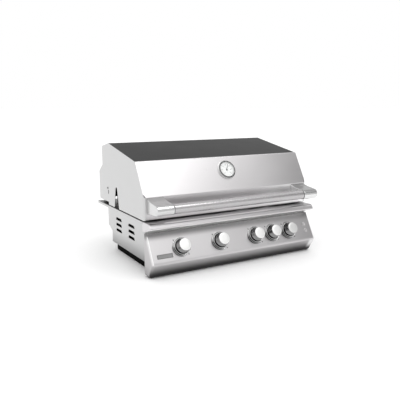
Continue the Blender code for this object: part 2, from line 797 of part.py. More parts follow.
def thermometer_needle():
    """A tapered pointer fused to its hub."""
    foot = GAUGE_FLOOR + GAP + GAUGE_DIAL_THICKNESS + GAP
    top = foot + NEEDLE_HUB_HEIGHT
    bm = turned([(0.0, foot), (NEEDLE_HUB, foot), (NEEDLE_HUB, top), (0.0, top)], SMALL_ROUND)
    needle = finished(bm, "thermometer_needle", NEEDLE_BLACK, gauge_spot())
    low = foot + (NEEDLE_HUB_HEIGHT - NEEDLE_THICKNESS) / 2
    half = NEEDLE_WIDTH / 2
    blade = bmesh.new()
    tip = half / 2
    outline = [(-half, -NEEDLE_TAIL), (half, -NEEDLE_TAIL), (tip, NEEDLE_LENGTH), (-tip, NEEDLE_LENGTH)]
    face = blade.faces.new([blade.verts.new((*point, low)) for point in outline])
    push(blade, [face], (0.0, 0.0, NEEDLE_THICKNESS))
    bmesh.ops.recalc_face_normals(blade, faces=blade.faces)
    pointer = helper(blade, "needle_blade", gauge_spot())
    lean = Matrix.Rotation(SLOPE[1], 4, "X") @ Matrix.Rotation(NEEDLE_REST, 4, "Z")
    for obj in (needle, pointer):
        obj.rotation_euler = lean.to_euler()
    boolean(needle, pointer, "UNION")
    return needle


def thermometer_lens():
    """The glass, seated on the case's step."""
    foot = GAUGE_LENS_SEAT + GAP
    edge = GAUGE_MOUTH - GAP
    top = foot + GAUGE_LENS_THICKNESS
    bm = turned([(0.0, foot), (edge, foot), (edge, top), (0.0, top)])
    return finished(bm, "thermometer_lens", CLEAR_GLASS, gauge_spot(), SLOPE[1])


# Front of the case


def front_ledge():
    """The rounded nose under the hood, a bent sheet with closed ends."""
    path = [
        (LEDGE_BACK, -HOOD_LIFT),
        (-LEDGE_SHOULDER_REACH, -HOOD_LIFT),
        (-LEDGE_NOSE_REACH, -LEDGE_NOSE_DROP),
        (-LEDGE_FOOT_REACH, -LEDGE_FOOT_DROP),
    ]
    shoulder = fillet(path[:3], LEDGE_SHOULDER_BEND)
    nose = fillet([shoulder[-2], *path[2:]], LEDGE_NOSE_BEND)
    outline = [*shoulder[:-1], *nose[1:], (LEDGE_BACK, -LEDGE_FOOT_DROP)]
    bm = folded_box(outline, FRONT_HALF, (len(outline) - 2, len(outline) - 1))
    faced(bm, Vector((0.0, 0.0, 1.0)))
    round_edges(bm, [edge for edge in folds(bm) if end_edge(edge)], BEND, BEND_STEPS - 1)
    ledge = finished(bm, "front_ledge", STEEL)
    thicken(ledge)
    return ledge


def control_panel():
    """The leaning face, lower return, bottom and ends as one rounded shell, open to the rear."""
    outline = [
        (-PANEL_TOP_REACH, -PANEL_TOP_DROP),
        (-PANEL_NOSE_REACH, -PANEL_NOSE_DROP),
        (-PANEL_FOOT_REACH, -PANEL_FOOT_DROP),
        (-PANEL_BACK_REACH, PANEL_BACK_LIFT - PANEL_FOOT_DROP),
        (-PANEL_BACK_REACH, -PANEL_TOP_DROP),
    ]
    bm = folded_box(outline, FRONT_HALF, (3, 4))
    faced(bm, Vector((0.0, -1.0, 0.0)))
    round_edges(bm, folds(bm), PANEL_BEND)
    panel = finished(bm, "control_panel", STEEL)
    thicken(panel)
    holes = bmesh.new()
    for across in knob_places():
        add_cylinder(holes, PANEL_HOLE, (across, KNOB_UP, -OVERRUN), (across, KNOB_UP, OVERRUN))
    for up in button_places():
        radius = BUTTON_BARREL + GAP
        add_cylinder(holes, radius, (BUTTON_SIDE, up, -OVERRUN), (BUTTON_SIDE, up, OVERRUN))
    boolean(panel, helper(holes, "panel_holes", *PANEL), "DIFFERENCE")
    return panel


def burner_places():
    """The burners' places across the grill."""
    first = -BURNER_PITCH * (BURNER_COUNT - 1) / 2
    return [first + BURNER_PITCH * number for number in range(BURNER_COUNT)]


def knob_places():
    """The knobs' places: one for each burner, and the rear burner's before the last."""
    places = burner_places()
    extra = places[-1] - BURNER_PITCH * EXTRA_KNOB_SHARE
    return [*places[:-1], extra, places[-1]]


def button_places():
    """How far up the panel the two buttons sit, lower first."""
    return [BUTTON_UP - BUTTON_SPACING / 2, BUTTON_UP + BUTTON_SPACING / 2]


def front_frame():
    """The upright sheet that the panel, ledge and firebox are fixed to, with the burners' holes."""
    bm = bmesh.new()
    front, foot = at(FRAME_FRONT, FRAME_FOOT - PANEL_FOOT_DROP)
    back, top = at(FRAME_FRONT + SHEET, -SEAT_DROP)
    half = FRONT_HALF - BEND - GAP
    add_block(bm, (-half, front, foot), (half, back, top))
    frame = finished(bm, "front_frame", INNER_STEEL)
    boolean(frame, burner_holes("frame_holes", FRAME_FRONT, BURNER_BELL), "DIFFERENCE")
    return frame


def burner_holes(name, depth, radius):
    """A cutter for the four burners through an upright sheet at the depth."""
    bm = bmesh.new()
    start = at(depth - OVERRUN, 0.0)[0]
    end = at(depth + SHEET + OVERRUN, 0.0)[0]
    height = VALVE_POINT.z
    for across in burner_places():
        add_cylinder(bm, radius + GAP, (across, start, height), (across, end, height), SMALL_ROUND)
    return helper(bm, name)


# Case


def counter_flange():
    """The flange round the sides and rear with its lip folded down onto the worktop."""
    start = at(LEDGE_BACK + GAP, 0.0)[0]
    columns = (-FLANGE_HALF, -COOK_HALF, COOK_HALF, FLANGE_HALF)
    rows = (start, at(COOK_REAR, 0.0)[0], at(FLANGE_REACH, 0.0)[0])
    top = at(0.0, -HOOD_LIFT)[1]
    bm = bmesh.new()
    corners = [[bm.verts.new((across, back, top)) for back in rows] for across in columns]
    for column in range(len(columns) - 1):
        for row in range(len(rows) - 1):
            if (column, row) != (1, 0):
                near, far = corners[column], corners[column + 1]
                bm.faces.new((near[row], far[row], far[row + 1], near[row + 1]))
    rims = [edge for edge in bm.edges if edge.is_boundary and flange_rim(edge, rows[-1])]
    pushed = bmesh.ops.extrude_edge_only(bm, edges=rims)
    moved = [item for item in pushed["geom"] if isinstance(item, bmesh.types.BMVert)]
    bmesh.ops.translate(bm, vec=(0.0, 0.0, -FLANGE_LIP), verts=moved)
    faced(bm, Vector((0.0, 0.0, 1.0)))
    round_edges(bm, folds(bm), FLANGE_BEND, BEND_STEPS - 1)
    flange = finished(bm, "counter_flange", STEEL)
    thicken(flange)
    return flange


def flange_rim(edge, rear):
    """True for an edge along the flange's outer side or rear."""
    first, second = (vert.co for vert in edge.verts)
    beside = min(abs(first.x), abs(second.x)) > FLANGE_HALF - MERGE
    behind = min(first.y, second.y) > rear - MERGE
    return beside or behind


def case_profile():
    """The case's rear profile: upright, leaning in, then upright again."""
    upper = (CASE_DEPTH, -CASE_CHAMFER_DROP)
    lower = (REAR_FLOOR_DEPTH, -CASE_CHAMFER_DROP - CASE_CHAMFER_FALL)
    return upper, lower


def side_panel(side):
    """A case side with its louvre slots."""
    top = -SEAT_DROP
    foot = CASE_FOOT - HOOD_SILL
    upper, lower = case_profile()
    outline = [(INNER_FRONT, foot), (INNER_FRONT, top), (CASE_DEPTH, top), upper, lower, (lower[0], foot)]
    outer = side * CASE_HALF
    bm = extruded(outline, *sorted((outer, outer - side * SHEET)))
    name = side_name(side)
    panel = finished(bm, "side_panel_" + name, LIGHT_STEEL)
    vents = bmesh.new()
    for column in range(VENT_COLUMNS):
        for row in range(VENT_ROWS):
            depth = VENT_FIRST_DEPTH + column * VENT_COLUMN_PITCH
            add_vent(vents, side, depth, -VENT_FIRST_DROP - row * VENT_ROW_PITCH)
    boolean(panel, helper(vents, "vents_" + name), "DIFFERENCE")
    return panel


def add_vent(bm, side, depth, height):
    """Adds a cutter for one louvre slot: flat below, slanting ends and rounded corners above."""
    half = VENT_LENGTH / 2
    rise = VENT_HEIGHT / 2
    outline = [
        (depth - half, height - rise),
        (depth + half, height - rise),
        (depth + half - VENT_SLANT, height + rise),
        (depth - half + VENT_SLANT, height + rise),
    ]
    start = side * (CASE_HALF - SHEET - OVERRUN)
    prism = extruded(fillet_closed(outline, VENT_CORNER), start, side * (CASE_HALF + OVERRUN))
    mesh = bpy.data.meshes.new("vent")
    prism.to_mesh(mesh)
    prism.free()
    bm.from_mesh(mesh)
    bpy.data.meshes.remove(mesh)


def rear_panel():
    """The case's rear sheet, bent in towards its foot."""
    inside = CASE_HALF - SHEET - GAP
    upper, lower = case_profile()
    path = [(CASE_DEPTH, -SEAT_DROP), upper, lower, (lower[0], CASE_FOOT - HOOD_SILL)]
    panel = finished(strip(fillet(path, BEND), lambda point: inside), "rear_panel", STEEL)
    thicken(panel)
    return panel


def bottom_panel():
    """The case's floor, between the sides."""
    half = CASE_HALF - SHEET - GAP
    bm = bmesh.new()
    start = at(INNER_FRONT, 0.0)[0]
    end = at(REAR_FLOOR_DEPTH - SHEET - GAP, 0.0)[0]
    add_block(bm, (-half, start, CASE_FLOOR - SHEET), (half, end, CASE_FLOOR))
    return finished(bm, "bottom_panel", STEEL)


def open_tray(name, finish, low, high, radius, thickness, rim=0.0):
    """A rounded box without its top, thickened inward; a rim leaves that much of its floor."""
    bm = bmesh.new()
    add_block(bm, low, high)
    bm.faces.ensure_lookup_table()
    lid = max(bm.faces, key=lambda face: face.calc_center_median().z)
    bmesh.ops.delete(bm, geom=[lid], context="FACES_ONLY")
    if rim > 0:
        floor = min(bm.faces, key=lambda face: face.calc_center_median().z)
        bmesh.ops.inset_region(bm, faces=[floor], thickness=rim, use_boundary=True)
        bmesh.ops.delete(bm, geom=[floor], context="FACES_ONLY")
    faced(bm, Vector((0.0, -1.0, 0.0)))
    round_edges(bm, folds(bm), radius, BEND_STEPS - 1)
    tray = finished(bm, name, finish)
    thicken(tray, thickness)
    return tray


def base_frame():
    """The black stand: four walls with a rim turned in at the floor."""
    half = HOOD_HALF - BASE_INSET
    start = at(INNER_FRONT, 0.0)[0]
    end = at(REAR_FLOOR_DEPTH - SHEET - GAP, 0.0)[0]
    top = CASE_FLOOR - SHEET - GAP
    corners = ((-half, start, 0.0), (half, end, top))
    return open_tray("base_frame", BLACK_PAINT, *corners, BEND, BASE_WALL, BASE_RIM)


def drip_tray():
    """The lift-out tray on the case's floor, under the burners."""
    half = COOK_HALF - TRAY_MARGIN
    start = at(INNER_FRONT + TRAY_MARGIN, 0.0)[0]
    end = at(REAR_FLOOR_DEPTH - TRAY_MARGIN, 0.0)[0]
    corners = ((-half, start, TRAY_FOOT), (half, end, TRAY_FOOT + TRAY_HEIGHT))
    return open_tray("drip_tray", INNER_STEEL, *corners, TRAY_BEND, SHEET)


# Firebox


def firebox_front():
    """The front wall, stepped in for the grates and again for the flame tamers."""
    first = COOK_FRONT + SHELF
    second = first + SHELF
    path = [
        (INNER_FRONT, -SEAT_DROP),
        (COOK_FRONT, -SEAT_DROP),
        (COOK_FRONT, -GRATE_DROP),
        (first, -GRATE_DROP),
        (first, -TAMER_DROP),
        (second, -TAMER_DROP),
        (second, -FIREBOX_FOOT_DROP),
    ]
    wall = finished(strip(path, lambda point: COOK_HALF - GAP), "firebox_front", INNER_STEEL)
    thicken(wall)
    boolean(wall, burner_holes("front_wall_holes", second - SHEET, BURNER_TUBE), "DIFFERENCE")
    return wall


def firebox_rear():
    """The rear wall, stepped like the front one."""
    first = COOK_REAR - SHELF
    second = first - SHELF
    path = [
        (second, -FIREBOX_FOOT_DROP),
        (second, -TAMER_DROP),
        (first, -TAMER_DROP),
        (first, -GRATE_DROP),
        (COOK_REAR, -GRATE_DROP),
        (COOK_REAR, -SEAT_DROP),
        (COOK_REAR + FIREBOX_REAR_LIP, -SEAT_DROP),
    ]
    wall = finished(strip(path, lambda point: COOK_HALF - GAP), "firebox_rear", INNER_STEEL)
    thicken(wall)
    boolean(wall, burner_holes("rear_wall_holes", second, BURNER_TUBE), "DIFFERENCE")
    return wall


def firebox_side(side):
    """A side wall with its top turned out under the flange."""
    outer = CASE_HALF - SHEET - GAP
    foot = -FIREBOX_FOOT_DROP
    outline = [
        (COOK_HALF, foot),
        (COOK_HALF, -SEAT_DROP),
        (outer, -SEAT_DROP),
        (outer, -SEAT_DROP - SHEET),
        (COOK_HALF + SHEET, -SEAT_DROP - SHEET),
        (COOK_HALF + SHEET, foot),
    ]
    start = at(INNER_FRONT, 0.0)[0]
    end = at(COOK_REAR + FIREBOX_REAR_LIP, 0.0)[0]
    bm = bmesh.new()
    corners = [bm.verts.new((side * across, start, HOOD_SILL + height)) for across, height in outline]
    push(bm, [bm.faces.new(corners)], (0.0, end - start, 0.0))
    bmesh.ops.recalc_face_normals(bm, faces=bm.faces)
    return finished(bm, "firebox_" + side_name(side), INNER_STEEL)


def burner(number, across):
    """A tube burner with a flared mouth over its gas outlet and a closed rear end."""
    mouth = at(-BURNER_BELL_REACH, 0.0)[0]
    rear = at(COOK_REAR - SHELF - SHELF + SHEET + BURNER_END, 0.0)[0]
    length = rear - mouth
    throat = BURNER_BELL_LENGTH + BURNER_BELL_TAPER
    profile = [
        (0.0, length),
        (BURNER_TUBE, length),
        (BURNER_TUBE, throat),
        (BURNER_BELL, BURNER_BELL_LENGTH),
        (BURNER_BELL, 0.0),
        (BURNER_BELL - BURNER_WALL, 0.0),
        (BURNER_BELL - BURNER_WALL, BURNER_BELL_LENGTH),
        (BURNER_TUBE - BURNER_WALL, throat),
        (BURNER_TUBE - BURNER_WALL, length - BURNER_WALL),
        (0.0, length - BURNER_WALL),
    ]
    spot = (across, mouth, VALVE_POINT.z)
    return finished(turned(profile, SMALL_ROUND), f"burner_{number}", INNER_STEEL, spot, -math.pi / 2)


def flame_tamer(number, across):
    """A folded roof over a burner, resting on the firebox's lower shelves."""
    foot = -TAMER_DROP + SHEET + GAP
    shoulder = TAMER_HALF - TAMER_FOOT
    slope = [(-shoulder, foot), (0.0, foot + TAMER_RISE), (shoulder, foot)]
    path = [(-TAMER_HALF, foot), *slope, (TAMER_HALF, foot)]
    start = at(COOK_FRONT + SHELF + TAMER_CLEARANCE, 0.0)[0]
    end = at(COOK_REAR - SHELF - TAMER_CLEARANCE, 0.0)[0]
    bm = bmesh.new()
    rows = [[bm.verts.new((across + x, y, HOOD_SILL + height)) for y in (start, end)] for x, height in path]
    for (near, far), (next_near, next_far) in zip(rows, rows[1:]):
        bm.faces.new((near, next_near, next_far, far))
    tamer = finished(bm, f"flame_tamer_{number}", INNER_STEEL)
    thicken(tamer)
    return tamer


def cooking_grate(number):
    """A cast grate of chamfered bars between two rails, on the firebox's upper shelves."""
    width = (COOK_WIDTH - GRATE_CLEARANCE * (GRATE_COUNT + 1)) / GRATE_COUNT
    start = -COOK_HALF + GRATE_CLEARANCE + number * (width + GRATE_CLEARANCE)
    columns = bar_lines(start, start + width, GRATE_BARS, GRATE_BAR)
    front = at(COOK_FRONT + GRATE_CLEARANCE, 0.0)[0]
    rear = at(COOK_REAR - GRATE_CLEARANCE, 0.0)[0]
    rows = (front, front + GRATE_RAIL, rear - GRATE_RAIL, rear)
    top = HOOD_SILL - GRATE_DROP + GAP + GRATE_THICKNESS

    def filled(column, row):
        return row != 1 or column % 2 == 0

    bm = grid_plate(columns, rows, filled, top, GRATE_THICKNESS)
    rims = [edge for edge in folds(bm) if min(vert.co.z for vert in edge.verts) > top - MERGE]
    round_edges(bm, rims, GRATE_CHAMFER, 1)
    return finished(bm, f"cooking_grate_{number + 1}", CAST_STEEL)


def warming_rack():
    """A rack of bars over the rear of the grates, on four legs that stand on the flange."""
    half = HOOD_HALF - RACK_INSET
    inner = bar_lines(-half + RACK_LEG, half - RACK_LEG, RACK_BARS, RACK_WIRE)
    columns = [-half, *inner, half]
    front, top = at(RACK_FRONT, RACK_RISE)
    rear = front + RACK_LENGTH
    rows = (front, front + RACK_LEG, rear - RACK_LEG, rear)

    def filled(column, row):
        return row != 1 or column % 2 == 1

    bm = grid_plate(columns, rows, filled, top, RACK_WIRE)
    bm.normal_update()
    feet = []
    for face in bm.faces:
        middle = face.calc_center_median()
        at_end = abs(middle.x) > half - RACK_LEG and abs(middle.y - front - RACK_LENGTH / 2) > RACK_LENGTH / 4
        if at_end and face.normal.z < -math.cos(SMOOTH_ANGLE):
            feet.append(face)
    push(bm, feet, (0.0, 0.0, RACK_WIRE + GAP - RACK_RISE - HOOD_LIFT))
    bmesh.ops.delete(bm, geom=[face for face in feet if face.is_valid], context="FACES_ONLY")
    bmesh.ops.recalc_face_normals(bm, faces=bm.faces)
    return finished(bm, "warming_rack", POLISHED)


def rear_burner():
    """The spit's burner: a box behind the grates with a sunk front for its ceramic."""
    half = HOOD_HALF - REAR_BURNER_INSET
    front, foot = at(COOK_REAR + REAR_BURNER_START, GAP - HOOD_LIFT)
    top = foot + REAR_BURNER_HEIGHT
    bm = bmesh.new()
    add_block(bm, (-half, front, foot), (half, front + REAR_BURNER_THICKNESS, top))
    box = finished(bm, "rear_burner", INNER_STEEL)
    recess = bmesh.new()
    rim = REAR_BURNER_RIM
    low = (rim - half, front - OVERRUN, foot + rim)
    add_block(recess, low, (half - rim, front + REAR_BURNER_RECESS, top - rim))
    boolean(box, helper(recess, "rear_burner_recess"), "DIFFERENCE")
    return box


# Gas train


def gas_manifold():
    """The gas pipe with its five valve bodies, their necks, outlets and stem bores."""
    up = KNOB_UP - MANIFOLD_BELOW
    bm = bmesh.new()
    ends = [(side * MANIFOLD_HALF, up, -MANIFOLD_BEHIND) for side in (-1, 1)]
    add_cylinder(bm, MANIFOLD_RADIUS, *ends)
    pipe = finished(bm, "gas_manifold", BRASS, *PANEL)
    bodies = bmesh.new()
    necks = bmesh.new()
    bores = bmesh.new()
    for across in knob_places():
        low = (across - VALVE_WIDTH / 2, KNOB_UP - VALVE_BELOW, -VALVE_START - VALVE_LENGTH)
        add_block(bodies, low, (across + VALVE_WIDTH / 2, KNOB_UP + VALVE_ABOVE, -VALVE_START))
        neck = (across, KNOB_UP, -SHEET - GAP)
        add_cylinder(necks, VALVE_NECK, (across, KNOB_UP, -VALVE_MIDDLE), neck)
        foot = (across, KNOB_UP, -STEM_ROOT - GAP)
        add_cylinder(bores, STEM_RADIUS + GAP, foot, (across, KNOB_UP, OVERRUN))
    boolean(pipe, helper(bodies, "valve_bodies", *PANEL), "UNION")
    boolean(pipe, helper(necks, "valve_necks", *PANEL), "UNION")
    spuds = bmesh.new()
    for across in burner_places():
        start = Vector((across, VALVE_POINT.y, VALVE_POINT.z))
        add_cylinder(spuds, SPUD_RADIUS, start, (across, at(-SPUD_REACH, 0.0)[0], VALVE_POINT.z))
    boolean(pipe, helper(spuds, "valve_outlets"), "UNION")
    nut = bmesh.new()
    inner = (MANIFOLD_HALF - MANIFOLD_NUT_LENGTH, up, -MANIFOLD_BEHIND)
    add_cylinder(nut, MANIFOLD_NUT, inner, (MANIFOLD_HALF + GAP, up, -MANIFOLD_BEHIND), 6)
    boolean(pipe, helper(nut, "inlet_nut", *PANEL), "UNION")
    boolean(pipe, helper(bores, "stem_bores", *PANEL), "DIFFERENCE")
    return pipe


def d_rod(radius, flat, foot, top):
    """A rod along its own Z with one flat side."""
    bm = bmesh.new()
    lean = math.acos(flat / radius)
    outline = arc((0.0, 0.0), radius, lean, math.tau - lean, SMALL_ROUND)
    push(bm, [bm.faces.new([bm.verts.new((*point, foot)) for point in outline])], (0.0, 0.0, top - foot))
    bmesh.ops.recalc_face_normals(bm, faces=bm.faces)
    return bm


def valve_stem(number, across):
    """The D-shaped stem that turns in the valve body."""
    bm = d_rod(STEM_RADIUS, STEM_RADIUS * STEM_FLAT_SHARE, -STEM_ROOT, KNOB_HEIGHT - STEM_END)
    return finished(bm, f"valve_stem_{number}", BRASS, on_plane(PANEL, across, KNOB_UP), PANEL[1])


def knob(number, across):
    """A tapered knob with a rounded face, bored to slide on its stem."""
    profile = [
        (0.0, KNOB_HEIGHT),
        (KNOB_FACE - KNOB_EDGE, KNOB_HEIGHT),
        (KNOB_FACE, KNOB_HEIGHT - KNOB_EDGE),
        (KNOB_BASE, KNOB_FOOT + KNOB_SKIRT),
        (KNOB_BASE, KNOB_FOOT),
        (0.0, KNOB_FOOT),
    ]
    spot = on_plane(PANEL, across, KNOB_UP)
    piece = finished(turned(profile), f"knob_{number}", POLISHED, spot, PANEL[1])
    flat = STEM_RADIUS * STEM_FLAT_SHARE + GAP
    top = KNOB_HEIGHT - STEM_END + STEM_ROOM
    bore = d_rod(STEM_RADIUS + GAP, flat, KNOB_FOOT - OVERRUN, top)
    boolean(piece, helper(bore, f"knob_bore_{number}", spot, PANEL[1]), "DIFFERENCE")
    return piece


def knob_bezel(number, across):
    """The stepped ring that the knob stands in."""
    profile = [
        (BEZEL_BORE, GAP),
        (BEZEL_RADIUS, GAP),
        (BEZEL_RADIUS, GAP + BEZEL_FLANGE),
        (BEZEL_STEP, GAP + BEZEL_FLANGE),
        (BEZEL_RIM, BEZEL_HEIGHT),
        (BEZEL_WELL, BEZEL_HEIGHT),
        (BEZEL_WELL, BEZEL_FLOOR),
        (BEZEL_BORE, BEZEL_FLOOR),
    ]
    spot = on_plane(PANEL, across, KNOB_UP)
    return finished(turned(profile), f"knob_bezel_{number}", POLISHED, spot, PANEL[1])


def button_housing(number, up):
    """The ring and barrel that a push button slides in."""
    depth = BUTTON_ROOT + BUTTON_TRAVEL + GAP
    profile = [
        (0.0, -depth - BUTTON_FLOOR),
        (BUTTON_BARREL, -depth - BUTTON_FLOOR),
        (BUTTON_BARREL, GAP),
        (BUTTON_RING, GAP),
        (BUTTON_RING, GAP + BUTTON_RING_THICKNESS),
        (BUTTON_CAP + GAP, GAP + BUTTON_RING_THICKNESS),
        (BUTTON_CAP + GAP, -depth),
        (0.0, -depth),
    ]
    spot = on_plane(PANEL, BUTTON_SIDE, up)
    return finished(turned(profile, SMALL_ROUND), f"button_housing_{number}", POLISHED, spot, PANEL[1])


def push_button(number, up):
    """A round push button."""
    profile = [
        (0.0, BUTTON_OUT),
        (BUTTON_CAP - BUTTON_EDGE, BUTTON_OUT),
        (BUTTON_CAP, BUTTON_OUT - BUTTON_EDGE),
        (BUTTON_CAP, -BUTTON_ROOT),
        (0.0, -BUTTON_ROOT),
    ]
    spot = on_plane(PANEL, BUTTON_SIDE, up)
    return finished(turned(profile, SMALL_ROUND), f"push_button_{number}", BLACK_PAINT, spot, PANEL[1])


def build_hood():
    """Everything that lifts with the hood, carried by an empty on the hinge axis."""
    axis = axis_empty("hood_axis", HINGE_POINT)
    pieces = [hood_front(), hood_top(), handle_bar(), thermometer_case(), thermometer_dial()]
    pieces += [thermometer_needle(), thermometer_lens()]
    for side in (-1, 1):
        pieces += [hood_side(side), handle_bracket(side)]
    for piece in pieces:
        carry(piece, axis)


def build_case():
    """The fixed sheet metal."""
    control_panel()
    front_ledge()
    front_frame()
    counter_flange()
    rear_panel()
    bottom_panel()
    base_frame()
    firebox_front()
    firebox_rear()
    for side in (-1, 1):
        side_panel(side)
        firebox_side(side)
        hinge_bracket(side)


def build_cooking_parts():
    """Burners, tamers, grates, rack, rear burner and tray."""
    for number, across in enumerate(burner_places(), start=1):
        burner(number, across)
        flame_tamer(number, across)
    for number in range(GRATE_COUNT):
        cooking_grate(number)
    warming_rack()
    rear_burner()
    drip_tray()


def build_controls():
    """The gas train, the knobs on their stems, and the push buttons."""
    gas_manifold()
    for number, across in enumerate(knob_places(), start=1):
        knob_bezel(number, across)
        stem = valve_stem(number, across)
        carry(knob(number, across), stem)
    for number, up in enumerate(button_places(), start=1):
        button_housing(number, up)
        push_button(number, up)


clear_scene()
build_hood()
build_case()
build_cooking_parts()
build_controls()
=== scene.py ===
import math

import bpy
from mathutils import Matrix, Vector


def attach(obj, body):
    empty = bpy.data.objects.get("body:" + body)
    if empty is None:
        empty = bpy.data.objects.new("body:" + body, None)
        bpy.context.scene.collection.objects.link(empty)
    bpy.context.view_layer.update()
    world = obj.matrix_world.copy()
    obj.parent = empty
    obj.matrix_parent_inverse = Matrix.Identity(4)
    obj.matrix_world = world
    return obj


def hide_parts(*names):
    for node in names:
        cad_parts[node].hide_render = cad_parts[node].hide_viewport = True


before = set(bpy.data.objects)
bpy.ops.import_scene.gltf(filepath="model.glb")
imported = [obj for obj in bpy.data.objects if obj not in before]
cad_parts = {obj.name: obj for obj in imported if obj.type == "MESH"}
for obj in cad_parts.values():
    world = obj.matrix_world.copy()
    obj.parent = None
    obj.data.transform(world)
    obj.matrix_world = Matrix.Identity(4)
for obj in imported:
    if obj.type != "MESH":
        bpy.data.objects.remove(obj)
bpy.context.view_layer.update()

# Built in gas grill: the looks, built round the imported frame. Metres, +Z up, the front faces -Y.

# Studio
# A white floor under an open white sky. A soft grey flag stands before the grill and a darker one at
# its right, so brushed steel falls off from left to right. One wide soft lamp hangs high in front, a
# weak, wider one fills in from the left, and a thin one draws the bright lines along round edges.
# Each side is the direction towards it. A flag's edges are the cosines where it begins and is full.

CAMERA_SPOT = (-1.15835, -1.94122, 0.65641)
CAMERA_TURN = (math.radians(79.343), 0.0, math.radians(-30.163))
CAMERA_LENS = 44.79
SENSOR = 36.0
FLOOR_REACH = 200.0
FLAG_SIDE = (0.45, -0.72, 0.53)
FLAG_EDGES = (0.55, 0.90)
FLAG_LIGHT = 0.80
DARK_FLAG_SIDE = (0.80, -0.45, 0.40)
DARK_FLAG_EDGES = (0.940, 0.985)
DARK_FLAG_LIGHT = 0.32
LAMPS = (
    # name, side, spread in degrees, power
    ("key_lamp", (0.20, -0.49, 0.85), 38.0, 0.56),
    ("fill_lamp", (-0.62, -0.25, 0.74), 60.0, 0.25),
    ("line_lamp", (0.42, -0.36, 0.83), 7.0, 0.085),
)


def paint(code):
    """An sRGB hex colour as linear red, green, blue and alpha."""
    parts = [int(code[start:start + 2], 16) / 255 for start in (1, 3, 5)]
    linear = [part / 12.92 if part <= 0.04045 else ((part + 0.055) / 1.055) ** 2.4
              for part in parts]
    return (*linear, 1.0)


def add_node(tree, kind, settings=None, links=None):
    """Adds a node, sets its properties or unlinked inputs, and joins its inputs to other sockets."""
    node = tree.nodes.new(kind)
    for name, value in (settings or {}).items():
        if isinstance(name, int) or name in node.inputs:
            node.inputs[name].default_value = value
        else:
            setattr(node, name, value)
    for place, socket in (links or {}).items():
        tree.links.new(socket, node.inputs[place])
    return node


def new_material(name):
    """A material with a Principled shader; gives back the material, its tree and the shader."""
    material = bpy.data.materials.new(name)
    material.use_nodes = True
    return material, material.node_tree, material.node_tree.nodes["Principled BSDF"]


def flagged(tree, ray, side, edges, light):
    """The share of the sky's light that a soft flag leaves in each direction."""
    toward = add_node(tree, "ShaderNodeVectorMath", {"operation": "DOT_PRODUCT", 1: side}, {0: ray})
    ends = {"From Min": edges[0], "From Max": edges[1], "To Min": 1.0, "To Max": light}
    soft = {"interpolation_type": "SMOOTHSTEP", **ends}
    share = add_node(tree, "ShaderNodeMapRange", soft, {"Value": toward.outputs["Value"]})
    return share.outputs["Result"]


scene = bpy.context.scene
scene.view_settings.view_transform = "Standard"
camera = bpy.data.objects.new("camera", bpy.data.cameras.new("camera"))
camera.location = CAMERA_SPOT
camera.rotation_euler = CAMERA_TURN
camera.data.lens = CAMERA_LENS
camera.data.sensor_width = SENSOR
camera.data.clip_end = FLOOR_REACH
scene.collection.objects.link(camera)
scene.camera = camera

world = bpy.data.worlds.new("studio")
world.use_nodes = True
scene.world = world
tree = world.node_tree
ray = add_node(tree, "ShaderNodeTexCoord").outputs["Generated"]
soft_flag = flagged(tree, ray, FLAG_SIDE, FLAG_EDGES, FLAG_LIGHT)
dark_flag = flagged(tree, ray, DARK_FLAG_SIDE, DARK_FLAG_EDGES, DARK_FLAG_LIGHT)
level = add_node(tree, "ShaderNodeMath", {"operation": "MULTIPLY"}, {0: soft_flag, 1: dark_flag})
background = tree.nodes["Background"]
background.inputs["Color"].default_value = paint("#FFFFFF")
tree.links.new(level.outputs[0], background.inputs["Strength"])

for name, side, spread, power in LAMPS:
    lamp = bpy.data.objects.new(name, bpy.data.lights.new(name, "SUN"))
    lamp.data.energy = power
    lamp.data.angle = math.radians(spread)
    lamp.rotation_euler = Vector(side).to_track_quat("Z", "Y").to_euler()
    scene.collection.objects.link(lamp)

bpy.ops.object.select_all(action="DESELECT")
bpy.ops.mesh.primitive_plane_add(size=FLOOR_REACH, location=(0.0, 0.0, 0.0))
floor = bpy.context.object
floor.name = "floor"
material, tree, shader = new_material("white_floor")
shader.inputs["Base Color"].default_value = paint("#FFFFFF")
shader.inputs["Roughness"].default_value = 0.9
shader.inputs["Specular IOR Level"].default_value = 0.0
floor.data.materials.append(material)

# Stainless sheet
# The front, sides and flange are 430 stainless, brushed with an abrasive belt. The fine straight
# scratches run one way and spread the light along them. Hands and cloths leave faint cloudy patches.
# The grain is drawn 1.6 mm wide, as coarse as it shows from where the grill is seen, and plating,
# plastic and print, which are finer still, at about 1 mm. Patches of painted light and painted shade
# are laid where their steps say: each is (start, end), or (start, end, low, high), in metres for a
# place and from -1 to 1 for a direction that the surface faces.

GRAIN = 0.0016
FINE = 0.0010
SATIN = 0.0012
GRAIN_RUN = 0.25
CLOUDS = 0.12
NOISE_SUM = (0.6, 1.4)
SHEET_FOLD = 0.003
TUBE_TURN = 0.004
